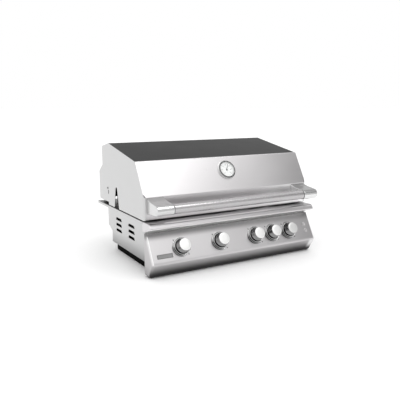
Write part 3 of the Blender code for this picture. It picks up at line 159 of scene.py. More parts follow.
# White for painted light and near black for painted shade, laid where the steps below say.
PAINTED_LIGHT = "#FFFFFF"
PAINTED_SHADE = "#202020"
LEDGE_PAINTED_LIGHT = {"to_z": (-0.2, -0.5), "x": (0.05, 0.30, 1.0, 0.3)}
LEDGE_PAINTED_SHADE = {"x": (0.10, 0.30, 0.0, 0.5), "to_z": (0.6, 0.9)}
RETURN_DOWN = (0.30, -0.42)
RETURN_PAINTED_SHADE = {"z": (0.060, 0.012, 0.30, 0.94), "to_z": RETURN_DOWN}
RETURN_CORNER_PAINTED_LIGHT = {"x": (0.368, 0.386, 0.0, 0.8), "z": (0.012, 0.040), "to_z": RETURN_DOWN}
PANEL_RIGHT_PAINTED_SHADE = {"x": (0.15, 0.40, 0.0, 0.13)}
PANEL_LEFT_PAINTED_SHADE = {"x": (-0.15, -0.35, 0.0, 0.08)}
PANEL_TOP_PAINTED_SHADOW = {"z": (0.141, 0.169, 0.0, 0.68), "x": (-0.05, 0.30, 1.0, 0.7)}
PANEL_FOLD_PAINTED_HIGHLIGHT = {
    "x": (-0.4000, -0.4030), "to_x": (-0.8, -0.5), "z": (0.060, 0.066), "also_z": (0.166, 0.158),
}
HOOD_RIGHT_PAINTED_SHADE = {"x": (0.15, 0.42, 0.0, 0.20)}
BAND = (0.315, 0.308)
BAND_PAINTED_SHADOW = {"z": BAND, "x": (0.02, -0.15, 0.0, 0.12)}
BAND_PAINTED_LIGHT = {"z": BAND, "x": (0.05, 0.36, 0.0, 0.9)}
CASE_FOOT_PAINTED_SHADE = {"z": (0.110, 0.042, 0.0, 0.38)}
FLANGE_LIP_PAINTED_SHADE = {"to_z": (0.6, 0.2)}
FLANGE_REAR_PAINTED_SHADE = {"y": (0.10, 0.26), "to_z": (0.5, 0.9)}


def surface(name, colour, metallic, roughness, size, stretch=(1.0, 1.0, 1.0), contrast=0.05,
            spread=0.05, depth=0.00002, bump=0.35, soften=0.0):
    """A finish whose colour, roughness and relief follow one noise of the size, drawn out by stretch.
    Edges look rounded over by the soften length."""
    material, tree, shader = new_material(name)
    spot = add_node(tree, "ShaderNodeTexCoord").outputs["Object"]
    scale = [1 / (size * part) for part in stretch]
    drawn = add_node(tree, "ShaderNodeMapping", {"Scale": scale}, {"Vector": spot}).outputs["Vector"]
    fine = {"Scale": 1.0, "Detail": 4.0, "Roughness": 0.65}
    grain = add_node(tree, "ShaderNodeTexNoise", fine, {"Vector": drawn}).outputs["Fac"]
    wide = {"Scale": 1 / CLOUDS, "Detail": 3.0}
    clouds = add_node(tree, "ShaderNodeTexNoise", wide, {"Vector": spot}).outputs["Fac"]
    base = paint(colour)[:3]
    dark, light = [(*(min(part * way, 1.0) for part in base), 1.0)
                   for way in (1 - contrast, 1 + contrast)]
    ends = {"data_type": "RGBA", "A": dark, "B": light}
    tint = add_node(tree, "ShaderNodeMix", ends, {"Factor": grain})
    tree.links.new(tint.outputs["Result"], shader.inputs["Base Color"])
    both = add_node(tree, "ShaderNodeMath", {"operation": "ADD"}, {0: grain, 1: clouds})
    ends = {"From Min": NOISE_SUM[0], "From Max": NOISE_SUM[1]}
    ends |= {"To Min": roughness - spread, "To Max": roughness + spread}
    rough = add_node(tree, "ShaderNodeMapRange", ends, {"Value": both.outputs[0]})
    tree.links.new(rough.outputs["Result"], shader.inputs["Roughness"])
    relief = {"Strength": bump, "Distance": depth}
    raised = add_node(tree, "ShaderNodeBump", relief, {"Height": grain})
    if soften > 0:
        edge = add_node(tree, "ShaderNodeBevel", {"samples": 8, "Radius": soften})
        tree.links.new(edge.outputs["Normal"], raised.inputs["Normal"])
    tree.links.new(raised.outputs["Normal"], shader.inputs["Normal"])
    shader.inputs["Metallic"].default_value = metallic
    return material


def brushed(name, colour, along, roughness, soften=0.0):
    """Brushed stainless with its grain along one axis (0 is X, 1 is Y, 2 is Z)."""
    stretch = [1.0, 1.0, 1.0]
    stretch[along] = GRAIN_RUN / GRAIN
    return surface(name, colour, 1.0, roughness, GRAIN, stretch, contrast=0.025, spread=0.03,
                   bump=0.2, soften=soften)


def over_base(material, factor, colour):
    """Lays a second colour over a finish's own, as strongly as the factor socket says."""
    tree = material.node_tree
    shader = tree.nodes["Principled BSDF"]
    under = shader.inputs["Base Color"].links[0].from_socket
    laid = {"data_type": "RGBA", "B": paint(colour)}
    mixed = add_node(tree, "ShaderNodeMix", laid, {"Factor": factor, "A": under})
    tree.links.new(mixed.outputs["Result"], shader.inputs["Base Color"])


def ramp(tree, value, start, end, low=0.0, high=1.0):
    """A soft step of a value, from low at the start to high at the end."""
    ends = {"From Min": start, "From Max": end, "To Min": low, "To Max": high}
    step = {"interpolation_type": "SMOOTHSTEP", **ends}
    return add_node(tree, "ShaderNodeMapRange", step, {"Value": value}).outputs["Result"]


def lay(material, colour, steps):
    """Lays a colour over a finish where every step holds. A step is of x, y or z, the place on the piece,
    or of to_x or to_z, the way that the surface faces; also_z is a second step of z."""
    tree = material.node_tree
    place = add_node(tree, "ShaderNodeTexCoord").outputs["Object"]
    normal = add_node(tree, "ShaderNodeNewGeometry").outputs["Normal"]
    place = add_node(tree, "ShaderNodeSeparateXYZ", {}, {0: place}).outputs
    normal = add_node(tree, "ShaderNodeSeparateXYZ", {}, {0: normal}).outputs
    factor = None
    for name, step in steps.items():
        axes = normal if name.startswith("to_") else place
        share = ramp(tree, axes[name[-1].upper()], *step)
        if factor is not None:
            both = {0: factor, 1: share}
            share = add_node(tree, "ShaderNodeMath", {"operation": "MULTIPLY"}, both).outputs[0]
        factor = share
    over_base(material, factor, colour)


def dress(material, *names):
    """Gives CAD nodes a finish in place of their plain one."""
    for name in names:
        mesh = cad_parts[name].data
        mesh.materials.clear()
        mesh.materials.append(material)


# Brushed across: reflections blur up and down into a soft sheen, and hold their edges sideways. The
# tube is ground finer, the sides are brushed from front to rear, and the roof is painted dark: a
# painted dark reflection.
front_steel = brushed("stainless_brushed_across", "#D4D2D3", 0, 0.30, SHEET_FOLD)
bar_steel = brushed("stainless_handle_tube", "#BBB9BA", 0, 0.26, TUBE_TURN)
side_steel = brushed("stainless_brushed_along", "#C8C8C8", 1, 0.32)
roof_steel = brushed("stainless_roof_painted_dark", "#444444", 0, 0.32)
shader = roof_steel.node_tree.nodes["Principled BSDF"]
shader.inputs["Specular Tint"].default_value = paint("#C6C6C6")

# The ledge's underside has painted light, for the light from the panel below it. Its top has painted
# shade towards the right.
lay(front_steel, PAINTED_LIGHT, LEDGE_PAINTED_LIGHT)
lay(front_steel, PAINTED_SHADE, LEDGE_PAINTED_SHADE)

# The panel's lower return looks down into the grill's own shadow, and is painted nearly black at its
# foot: painted shade. It stays steel at the fold and has painted light at the right corner. The face
# has painted shade towards both ends and a painted shadow under the ledge, and the fold at its left
# end has a painted highlight.
panel_steel = brushed("stainless_control_panel", "#D8D6D7", 0, 0.30, SHEET_FOLD)
lay(panel_steel, "#0A0A0A", RETURN_PAINTED_SHADE)
lay(panel_steel, PAINTED_LIGHT, RETURN_CORNER_PAINTED_LIGHT)
lay(panel_steel, PAINTED_SHADE, PANEL_RIGHT_PAINTED_SHADE)
lay(panel_steel, PAINTED_SHADE, PANEL_LEFT_PAINTED_SHADE)
lay(panel_steel, PAINTED_SHADE, PANEL_TOP_PAINTED_SHADOW)
lay(panel_steel, PAINTED_LIGHT, PANEL_FOLD_PAINTED_HIGHLIGHT)

# The hood's leaning face has a little painted shade towards its right end. The band below it has a
# painted shadow for the handle's shade towards its left, and painted light for the light from the
# ledge below towards its right.
hood_steel = brushed("stainless_hood_front", "#D4D2D3", 0, 0.30)
lay(hood_steel, PAINTED_SHADE, HOOD_RIGHT_PAINTED_SHADE)
lay(hood_steel, PAINTED_SHADE, BAND_PAINTED_SHADOW)
lay(hood_steel, PAINTED_LIGHT, BAND_PAINTED_LIGHT)

# The body's sides have painted shade, darker towards their foot.
case_steel = brushed("stainless_case_side", "#C6C6C6", 1, 0.32)
lay(case_steel, "#3A3A3A", CASE_FOOT_PAINTED_SHADE)

# The flange's lip, which faces outwards, is a little darker: painted shade. Its upward-facing rear
# strip, under the back of the hood, is painted nearly black: painted shade.
flange_steel = brushed("stainless_flange", "#D4D2D3", 0, 0.30)
lay(flange_steel, "#C3C3C3", FLANGE_LIP_PAINTED_SHADE)
lay(flange_steel, "#101010", FLANGE_REAR_PAINTED_SHADE)

dress(panel_steel, "control_panel")
dress(front_steel, "front_ledge")
dress(hood_steel, "hood_front")
dress(flange_steel, "counter_flange")
dress(bar_steel, "handle_bar")
dress(case_steel, "side_panel_left", "side_panel_right", "rear_panel")
dress(side_steel, "hood_side_left", "hood_side_right")
dress(roof_steel, "hood_top")

# Inner sheet
# The firebox, shelves, tray, floor and hinge brackets are plain 2B mill sheet, duller than the
# outside. Heat has drawn straw and blue patches over the burners and flame tamers. The firebox's
# sides and the hinge brackets are sooty, and painted near black also as painted shade for the dark
# inside the grill. The front frame is painted pale: painted light where it shows in the joint under
# the ledge.

SPOTS = 0.004
HEAT_PATCH = 0.05
STRAW = (0.50, 0.62, 0.0, 0.55)
BLUE = (0.60, 0.70, 0.0, 0.5)

# Dull grey with no direction to it, then the same with its heat colours, sooty black with painted
# shade, and pale with painted light.
inner_steel = surface("mill_stainless", "#8A8886", 1.0, 0.42, SPOTS, contrast=0.08)
hot_steel = surface("heat_tinted_stainless", "#8E8A84", 1.0, 0.38, SPOTS, contrast=0.10)
tree = hot_steel.node_tree
spot = add_node(tree, "ShaderNodeTexCoord").outputs["Object"]
patches = {"Scale": 1 / HEAT_PATCH, "Detail": 2.0}
patch = add_node(tree, "ShaderNodeTexNoise", patches, {"Vector": spot}).outputs["Fac"]
over_base(hot_steel, ramp(tree, patch, *STRAW), "#B08D4E")
over_base(hot_steel, ramp(tree, patch, *BLUE), "#56607C")
sooty_shaded_steel = surface("sooty_stainless_painted_shade", "#2E2C2A", 0.8, 0.55, SPOTS, contrast=0.2)
frame_painted_light = surface("frame_stainless_painted_light", "#F4F4F2", 0.25, 0.60, SPOTS, contrast=0.04)
dress(inner_steel, "bottom_panel", "firebox_front", "firebox_rear", "rear_burner", "drip_tray")
dress(frame_painted_light, "front_frame")
dress(sooty_shaded_steel, "firebox_left", "firebox_right", "hinge_bracket_left", "hinge_bracket_right")
dress(hot_steel, "burner_1", "burner_2", "burner_3", "burner_4")

# Base frame
# Folded mild steel under matt black stove paint, with a faint orange peel and grey scuffs.

PEEL = 0.0025
PEEL_DEPTH = 0.00006

# Nearly no shine, and painted this black as painted shade, so it reads as the black gap under the body.
black_paint_shade = surface("black_stove_paint_and_shade", "#070707", 0.0, 0.62, PEEL, contrast=0.25, depth=PEEL_DEPTH)
shader = black_paint_shade.node_tree.nodes["Principled BSDF"]
shader.inputs["Specular IOR Level"].default_value = 0.02
dress(black_paint_shade, "base_frame")

# Gas train
# Machined brass pipe, valve bodies and stems, dulled where fingers and heat have touched them.

TURNING_MARK = 0.0008
TURNED = (1.0, 8.0, 1.0)
VALVES = 5

# Warm yellow metal with turning marks round the pipe.
brass = surface("machined_brass", "#B8924C", 1.0, 0.30, TURNING_MARK, TURNED, contrast=0.10)
dress(brass, "gas_manifold", *[f"valve_stem_{n}" for n in range(1, VALVES + 1)])

# Knobs and bezels
# Each knob is a cast shell under satin chrome plate: a tapered skirt, a fine line round the rim and
# a barely domed face. It slides on a black plastic neck, which shows as a dark groove under it. The
# bezel is a pressed chrome ring in two steps, held by the panel's screws from behind.

PANEL_SPOT = (0.0, -0.2948, 0.0605)
PANEL_LEAN = math.radians(60.82)
KNOB_UP = 0.059
KNOB_PLACES = (-0.27, -0.09, 0.09, 0.18, 0.27)
ROUND = 96
SMALL_ROUND = 48
TINY_ROUND = 24
EDGE_STEPS = 3
QUARTER_TURN = math.radians(90)
SMOOTH = math.radians(40)
KNOB_FORM = (
    (0.0240, 0.0150), (0.0272, 0.0150), (0.0280, 0.0156), (0.0280, 0.0180), (0.0275, 0.0187),
    (0.0271, 0.0192), (0.0246, 0.0376), (0.0243, 0.0388), (0.0236, 0.0396), (0.0227, 0.0398),
    (0.0221, 0.0395), (0.0215, 0.0398), (0.0140, 0.0400), (0.0030, 0.04005),
)
FACE_HEIGHT = 0.0386
FACE_PAINTED_SHADE = {"x": (0.14, 0.28, 0.0, 0.22)}
LOW_LEFT = (-0.75, -0.32, -0.58)
LOW_LEFT_PAINTED_REFLECTION = (0.45, 0.78, 0.0, 0.95)
NECK_FORM = (
    (0.0060, 0.0084), (0.0225, 0.0084), (0.0235, 0.0090), (0.0235, 0.0130), (0.0246, 0.0140),
    (0.0246, 0.0152), (0.0060, 0.0152),
)
BEZEL_FORM = (
    (0.0090, 0.0003), (0.0388, 0.0003), (0.0392, 0.0008), (0.0391, 0.0040), (0.0386, 0.0047),
    (0.0374, 0.0050), (0.0364, 0.0048), (0.0357, 0.0042), (0.0352, 0.0044), (0.0347, 0.0054),
    (0.0340, 0.0072), (0.0331, 0.0086), (0.0321, 0.0094), (0.0311, 0.0095), (0.0302, 0.0091),
    (0.0295, 0.0080), (0.0290, 0.0060), (0.0288, 0.0042), (0.0280, 0.0040), (0.0090, 0.0040),
)


def pick(piece, test):
    """Selects, in edit mode, the faces of a piece that pass the test."""
    bpy.ops.object.mode_set(mode="OBJECT")
    for face in piece.data.polygons:
        face.select = test(face)
    bpy.ops.object.mode_set(mode="EDIT")


def turn(name, form, segments=ROUND, ring=False):
    """A round piece about Z: a disc whose face is drawn out from ring to ring of (radius, height)."""
    bpy.ops.object.select_all(action="DESELECT")
    radius, height = form[0]
    bpy.ops.mesh.primitive_circle_add(vertices=segments, radius=radius, fill_type="NGON")
    piece = bpy.context.object
    piece.name = name
    bpy.ops.object.mode_set(mode="EDIT")
    bpy.ops.mesh.select_mode(type="FACE")
    bpy.ops.mesh.select_all(action="SELECT")
    bpy.ops.transform.translate(value=(0.0, 0.0, height))
    for (before, low), (after, high) in zip(form, form[1:]):
        bpy.ops.mesh.extrude_region_move(TRANSFORM_OT_translate={"value": (0.0, 0.0, high - low)})
        share = after / before
        bpy.ops.transform.resize(value=(share, share, 1.0), center_override=(0.0, 0.0, high))
    if ring:
        pick(piece, lambda face: face.loop_total == segments)
        bpy.ops.mesh.delete(type="ONLY_FACE")
        bpy.ops.mesh.select_mode(type="EDGE")
        bpy.ops.mesh.select_non_manifold()
        bpy.ops.mesh.bridge_edge_loops()
        bpy.ops.mesh.select_mode(type="FACE")
    bpy.ops.mesh.select_all(action="SELECT")
    bpy.ops.mesh.normals_make_consistent(inside=False)
    bpy.ops.object.mode_set(mode="OBJECT")
    bpy.ops.object.shade_smooth_by_angle(angle=SMOOTH)
    return piece


def twin(piece, name, place):
    """A copy of a piece with its own mesh, moved to its place."""
    other = piece.copy()
    other.data = piece.data.copy()
    other.name = name
    other.data.transform(place)
    scene.collection.objects.link(other)
    return other


def remove(piece):
    """Takes away a piece that was only copied from."""
    bpy.data.objects.remove(piece, do_unlink=True)


def settle(piece, material, body):
    """Gives a piece its finish and its body."""
    piece.data.materials.clear()
    piece.data.materials.append(material)
    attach(piece, body)


def on_panel(across, up, out=0.0):
    """The place on the control panel, with Z out of its face."""
    lean = Matrix.Rotation(PANEL_LEAN, 4, "X")
    return Matrix.Translation(PANEL_SPOT) @ lean @ Matrix.Translation((across, up, out))


# Satin chrome over a white undercoat: bright from every side, with a soft edge to each reflection.
# The faces of the two knobs at the right end are painted darker: painted shade.
satin_chrome = surface("satin_chrome_plate", "#F4F4F3", 0.70, 0.42, SATIN, contrast=0.02)
lay(satin_chrome, "#303030", FACE_PAINTED_SHADE)
# Bright chrome, mirror smooth but for fine wiping marks, and painted dark where it faces down to the
# left: a painted dark reflection.
chrome = surface("bright_chrome_plate", "#BEBEBE", 1.0, 0.12, FINE, contrast=0.03, spread=0.03)
tree = chrome.node_tree
normal = add_node(tree, "ShaderNodeNewGeometry").outputs["Normal"]
toward = {"operation": "DOT_PRODUCT", 1: LOW_LEFT}
toward = add_node(tree, "ShaderNodeVectorMath", toward, {0: normal}).outputs["Value"]
over_base(chrome, ramp(tree, toward, *LOW_LEFT_PAINTED_REFLECTION), "#0C0C0C")
# Black nylon, moulded with a faint grain that takes the shine off it.
neck_black = surface("black_nylon", "#0D0D0D", 0.0, 0.45, FINE, contrast=0.2)
# The skirt is polished brighter than the face, and mirrors the panel and the dark well around it.
skirt_chrome = surface("polished_knob_skirt", "#9C9C9C", 1.0, 0.16, FINE, contrast=0.04, spread=0.04)

knob = turn("knob_form", KNOB_FORM)
finishes = [int(face.center.z > FACE_HEIGHT) for face in knob.data.polygons]
neck = turn("neck_form", NECK_FORM, ring=True)
bezel = turn("bezel_form", BEZEL_FORM, ring=True)
for number, across in enumerate(KNOB_PLACES, start=1):
    place = on_panel(across, KNOB_UP)
    piece = twin(knob, f"satin_knob_{number}", place)
    settle(piece, skirt_chrome, f"knob_{number}")
    piece.data.materials.append(satin_chrome)
    piece.data.polygons.foreach_set("material_index", finishes)
    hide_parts(f"knob_{number}")
    piece = twin(neck, f"knob_neck_{number}", place)
    settle(piece, neck_black, f"knob_{number}")
    piece = twin(bezel, f"stepped_bezel_{number}", place)
    settle(piece, chrome, "grill_body")
    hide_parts(f"knob_bezel_{number}")
for piece in (knob, neck, bezel):
    remove(piece)

# Panel marks
# Two dark printed dots beside each knob, full flame and low, and a small plate at the left end. The
# plate is etched aluminium, left bare, with a raised rim, stuck on with tape.

MARK_RING = 0.042
MARK_TURNS = (math.radians(131.6), math.radians(-51.8))
MARK_FORM = ((0.0022, 0.0), (0.0024, 0.00006), (0.0023, 0.00018), (0.0008, 0.0002))
PLATE_LOW = (-0.3815, 0.0235)
PLATE_HIGH = (-0.3145, 0.0405)
PLATE_HEIGHT = 0.0016
PLATE_RIM = 0.0016
PLATE_EDGE = 0.0004
PLATE_SINK = 0.0004
SQUARE_ON = 0.999


def block(name, low, high, radius=0.0, segments=2):
    """A box between two corners with rounded edges."""
    bpy.ops.object.select_all(action="DESELECT")
    low, high = Vector(low), Vector(high)
    bpy.ops.mesh.primitive_cube_add(size=1.0)
    piece = bpy.context.object
    piece.name = name
    bpy.ops.object.mode_set(mode="EDIT")
    bpy.ops.mesh.select_all(action="SELECT")
    bpy.ops.transform.resize(value=high - low, center_override=(0.0, 0.0, 0.0))
    bpy.ops.transform.translate(value=(low + high) / 2)
    if radius > 0:
        bpy.ops.mesh.bevel(offset=radius, segments=segments, affect="EDGES")
    bpy.ops.object.mode_set(mode="OBJECT")
    bpy.ops.object.shade_smooth_by_angle(angle=SMOOTH)
    return piece


# Flat screen ink, with no shine of its own.
ink = surface("dark_print", "#2A2A2A", 0.0, 0.55, FINE, contrast=0.2)
mark = turn("mark_form", MARK_FORM, TINY_ROUND)
for number, across in enumerate(KNOB_PLACES, start=1):
    for side, angle in zip(("high", "low"), MARK_TURNS):
        up = KNOB_UP + MARK_RING * math.sin(angle)
        spot = on_panel(across + MARK_RING * math.cos(angle), up)
        settle(twin(mark, f"{side}_mark_{number}", spot), ink, "grill_body")
remove(mark)

# Etched aluminium looks chalky, half metal, and the sunk field is paler than the rim.
etched = surface("etched_aluminium", "#6C6C6C", 0.35, 0.50, SATIN, contrast=0.08)
field = surface("etched_aluminium_field", "#8A8A8A", 0.35, 0.50, SATIN, contrast=0.08)
plate = block("bare_plate", (*PLATE_LOW, 0.0), (*PLATE_HIGH, PLATE_HEIGHT), PLATE_EDGE, EDGE_STEPS)
bpy.ops.object.mode_set(mode="EDIT")
bpy.ops.mesh.select_mode(type="FACE")
pick(plate, lambda face: face.normal.z > SQUARE_ON)
bpy.ops.mesh.inset(thickness=PLATE_RIM)
bpy.ops.transform.translate(value=(0.0, 0.0, -PLATE_SINK))
bpy.ops.object.mode_set(mode="OBJECT")
bpy.ops.object.shade_smooth_by_angle(angle=SMOOTH)
inner = [int(face.select) for face in plate.data.polygons]
plate.data.transform(on_panel(0.0, 0.0))
settle(plate, etched, "grill_body")
plate.data.materials.append(field)
plate.data.polygons.foreach_set("material_index", inner)

# Push buttons
# Two round steel buttons, igniter and light, each a shallow dish in a plain turned collar.

BUTTON_SIDE = 0.368
BUTTON_UPS = (0.0464, 0.0764)
CAP_FORM = (
    (0.0070, -0.0060), (0.0070, 0.0030), (0.0068, 0.0037), (0.0062, 0.0040), (0.0052, 0.0039),
    (0.0030, 0.0034), (0.0008, 0.0032),
)
COLLAR_FORM = (
    (0.0073, 0.0003), (0.0087, 0.0003), (0.0090, 0.0006), (0.0090, 0.0014), (0.0087, 0.0018),
    (0.0078, 0.0019), (0.0073, 0.0016),
)

# Caps, collars and housings share the front sheet's finish, with its painted light and shade.
dish = turn("cap_form", CAP_FORM, SMALL_ROUND)
collar = turn("collar_form", COLLAR_FORM, SMALL_ROUND, ring=True)
for number, up in enumerate(BUTTON_UPS, start=1):
    piece = twin(dish, f"button_cap_{number}", on_panel(BUTTON_SIDE, up))
    settle(piece, front_steel, f"button_{number}")
    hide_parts(f"push_button_{number}")
    piece = twin(collar, f"button_collar_{number}", on_panel(BUTTON_SIDE, up))
    settle(piece, front_steel, "grill_body")
for piece in (dish, collar):
    remove(piece)
dress(front_steel, "button_housing_1", "button_housing_2")

# Thermometer
# A spun steel case with a rolled ring, a white enamelled dial with grey ticks and plain numbers, a
# black pointer and a flat glass held by the ring.

GAUGE_SPOT = (0.0, -0.17194, 0.38998)
GAUGE_LEAN = math.radians(60.14)
DIAL_TOP = 0.0036
RING_FRONT = 0.0090
RING_FADE = 0.0010
RING_PAINTED_REFLECTION = 0.9
RING_TURN = 0.003
TICKS = 31
DIAL_SWEEP = math.radians(270)
TICK_OUTER = 0.0300
TICK_LONG = 0.0042
TICK_SHORT = 0.0024
TICK_HALF_LONG = 0.00042
TICK_HALF_SHORT = 0.00024
TICKS_PER_NUMBER = 5
NUMBER_STEP = 100
NUMBER_RING = 0.0215
NUMBER_SIZE = 0.0052
PRINT_DEPTH = 0.0001
ORANGE_PEEL = 0.0015
SMEARS = 0.011
WIPED = (0.3, 0.8, 0.02, 0.07)

# Turned steel: bright round its side, and painted dark on its flat front: a painted reflection of the
# flag.
gauge_ring = surface("gauge_ring_steel", "#D0D0D0", 1.0, 0.24, FINE, soften=RING_TURN)
tree = gauge_ring.node_tree
spot = add_node(tree, "ShaderNodeTexCoord").outputs["Object"]
axis = Vector((0.0, -math.sin(GAUGE_LEAN), math.cos(GAUGE_LEAN)))
height = {"operation": "DOT_PRODUCT", 1: axis}
height = add_node(tree, "ShaderNodeVectorMath", height, {0: spot}).outputs["Value"]
front = axis.dot(Vector(GAUGE_SPOT)) + RING_FRONT
over_base(gauge_ring, ramp(tree, height, front - RING_FADE, front, 0.0, RING_PAINTED_REFLECTION), "#484848")
# Fired enamel: clean white under a soft gloss.
enamel = surface("white_enamel", "#FCFCFB", 0.0, 0.35, ORANGE_PEEL, contrast=0.015)
dress(gauge_ring, "thermometer_case")
dress(enamel, "thermometer_dial")
dress(neck_black, "thermometer_needle")
gauge_place = Matrix.Translation(GAUGE_SPOT) @ Matrix.Rotation(GAUGE_LEAN, 4, "X")


def merge(pieces, name):
    """Joins pieces into the first one."""
    bpy.ops.object.select_all(action="DESELECT")
    for piece in pieces:
        piece.select_set(True)
    bpy.context.view_layer.objects.active = pieces[0]
    bpy.ops.object.join()
    pieces[0].name = name
    return pieces[0]


prints = []
for number in range(TICKS):
    angle = QUARTER_TURN + DIAL_SWEEP / 2 - DIAL_SWEEP * number / (TICKS - 1)
    long = number % TICKS_PER_NUMBER == 0
    inner = TICK_OUTER - (TICK_LONG if long else TICK_SHORT)
    half = TICK_HALF_LONG if long else TICK_HALF_SHORT
    tick = block("tick", (inner, -half, 0.0), (TICK_OUTER, half, PRINT_DEPTH), PRINT_DEPTH / 3, 1)
    tick.data.transform(Matrix.Rotation(angle, 4, "Z"))
    prints.append(tick)
    if long:
        bpy.ops.object.select_all(action="DESELECT")
        bpy.ops.object.text_add()
        word = bpy.context.object
        word.data.body = str(NUMBER_STEP * (1 + number // TICKS_PER_NUMBER))
        word.data.size = NUMBER_SIZE
        word.data.extrude = PRINT_DEPTH / 2
        word.data.align_x = "CENTER"
        word.data.align_y = "CENTER"
        bpy.ops.object.convert(target="MESH")
        spot = (NUMBER_RING * math.cos(angle), NUMBER_RING * math.sin(angle), PRINT_DEPTH / 2)
        word.data.transform(Matrix.Translation(spot))
        prints.append(word)
dial_print = merge(prints, "dial_print")
dial_print.data.transform(gauge_place @ Matrix.Translation((0.0, 0.0, DIAL_TOP)))
# Thin ink that lets a little of the white through.
grey_print = surface("grey_dial_print", "#6E6E6E", 0.0, 0.5, FINE)
settle(dial_print, grey_print, "hood")

# Flat float glass. It lets most light through, and its faint green tinge shows at the edge only.
material, tree, shader = new_material("clear_glass")
haze = add_node(tree, "ShaderNodeTexCoord").outputs["Object"]
smears = {"Scale": 1 / SMEARS, "Detail": 3.0}
haze = add_node(tree, "ShaderNodeTexNoise", smears, {"Vector": haze})
haze = ramp(tree, haze.outputs["Fac"], *WIPED)
tree.links.new(haze, shader.inputs["Roughness"])
shader.inputs["Base Color"].default_value = paint("#DDE3E2")
shader.inputs["Alpha"].default_value = 0.08
dress(material, "thermometer_lens")

# Handle
# A brushed tube between two cast and polished brackets. A black washer fills the joint at each end: a
# dark piece put there as painted shade for the joint. It shows as a dark curved line where the far
# bracket stands behind the tube's end.

BAR_SPOT = (-0.2935, 0.273)
BAR_END = 0.3185
CAST_EDGE = 0.005
CAST_ROLL = 0.003
ACROSS = (-0.40, 0.35)
BRACKET_TOP_PAINTED_SHADE = {"to_z": (0.62, 0.86), "x": (*ACROSS, 0.15, 0.46)}
BRACKET_FRONT_PAINTED_LIGHT = {"to_z": (0.30, 0.0), "x": (*ACROSS, 0.20, 0.45), "to_x": (0.97, 0.85)}
WASHER_ROUND = 64
WASHER_FORM = (
    (0.0154, 0.0002), (0.0198, 0.0002), (0.0202, 0.0005), (0.0202, 0.0010), (0.0198, 0.0013),
    (0.0154, 0.0013),
)

# Cast and polished: smoother than the sheet, with a slight roll left in it. The top has painted shade
# and the front painted light, more so at the right.
cast_chrome = surface(
    "polished_cast_stainless", "#C8C8C8", 1.0, 0.20, CAST_ROLL, contrast=0.04, soften=CAST_EDGE)
lay(cast_chrome, "#101010", BRACKET_TOP_PAINTED_SHADE)
lay(cast_chrome, PAINTED_LIGHT, BRACKET_FRONT_PAINTED_LIGHT)
dress(cast_chrome, "handle_bracket_left", "handle_bracket_right")
washer = turn("washer_form", WASHER_FORM, WASHER_ROUND, ring=True)
for side, name in ((-1, "left"), (1, "right")):
    place = Matrix.Translation((side * BAR_END, *BAR_SPOT))
    place = place @ Matrix.Rotation(side * QUARTER_TURN, 4, "Y")
    piece = twin(washer, f"handle_shade_washer_{name}", place)
    settle(piece, neck_black, "hood")
remove(washer)

# Screws
# A zinc plated pan head with a round drive recess on each hood side, driven in from outside.

SCREW_ROUND = 32
SCREW_FORM = (
    (0.0042, 0.0), (0.0043, 0.0006), (0.0040, 0.0014), (0.0032, 0.0019), (0.0018, 0.0021),
    (0.0016, 0.0011), (0.0006, 0.0009),
)
HOOD_SCREW = (0.4064, 0.177, 0.2961)

# Grey metal, darker and rougher than the steel round it.
dark_zinc = surface("dark_zinc_plate", "#4A4A48", 1.0, 0.38, FINE, contrast=0.1)
screw = turn("screw_form", SCREW_FORM, SCREW_ROUND)
for side, name in ((-1, "left"), (1, "right")):
    place = Matrix.Translation((side * HOOD_SCREW[0], *HOOD_SCREW[1:]))
    place = place @ Matrix.Rotation(side * QUARTER_TURN, 4, "Y")
    settle(twin(screw, f"hood_screw_{name}", place), dark_zinc, "hood")
remove(screw)

# Case sides
# Each side is one folded sheet. Its foot is turned back on itself into a hem, which stiffens it.

HEM_LOW = (0.3835, -0.2175, 0.0418)
HEM_HIGH = (0.3843, 0.1980, 0.0470)
HEM_EDGE = 0.0003

for side, name in ((-1, "left"), (1, "right")):
    hem = block(f"side_hem_{name}", HEM_LOW, HEM_HIGH, HEM_EDGE)
    hem.data.transform(Matrix.Diagonal((side, 1.0, 1.0, 1.0)))
    if side < 0:
        hem.data.flip_normals()
    settle(hem, case_steel, "grill_body")

# Cooking grates
# Cast stainless, three side by side, each a frame with ten bars between. The bars are rounded on top
# and rough from the mould.

GRATE_COUNT = 3
GRATE_FRONT = -0.2024
GRATE_REAR = 0.1344
GRATE_LOW = 0.1958
GRATE_TOP = 0.2058
GRATE_WIDTH = 0.24253
GRATE_STEP = 0.24313
GRATE_START = -0.3644
GRATE_BARS = 12
BAR_WIDTH = 0.008
BAR_EDGE = 0.0026
RAIL_WIDTH = 0.010
RAIL_DROP = 0.0012
RAIL_EDGE = 0.0022
CAST_GRAIN = 0.0020
CAST_DEPTH = 0.0003

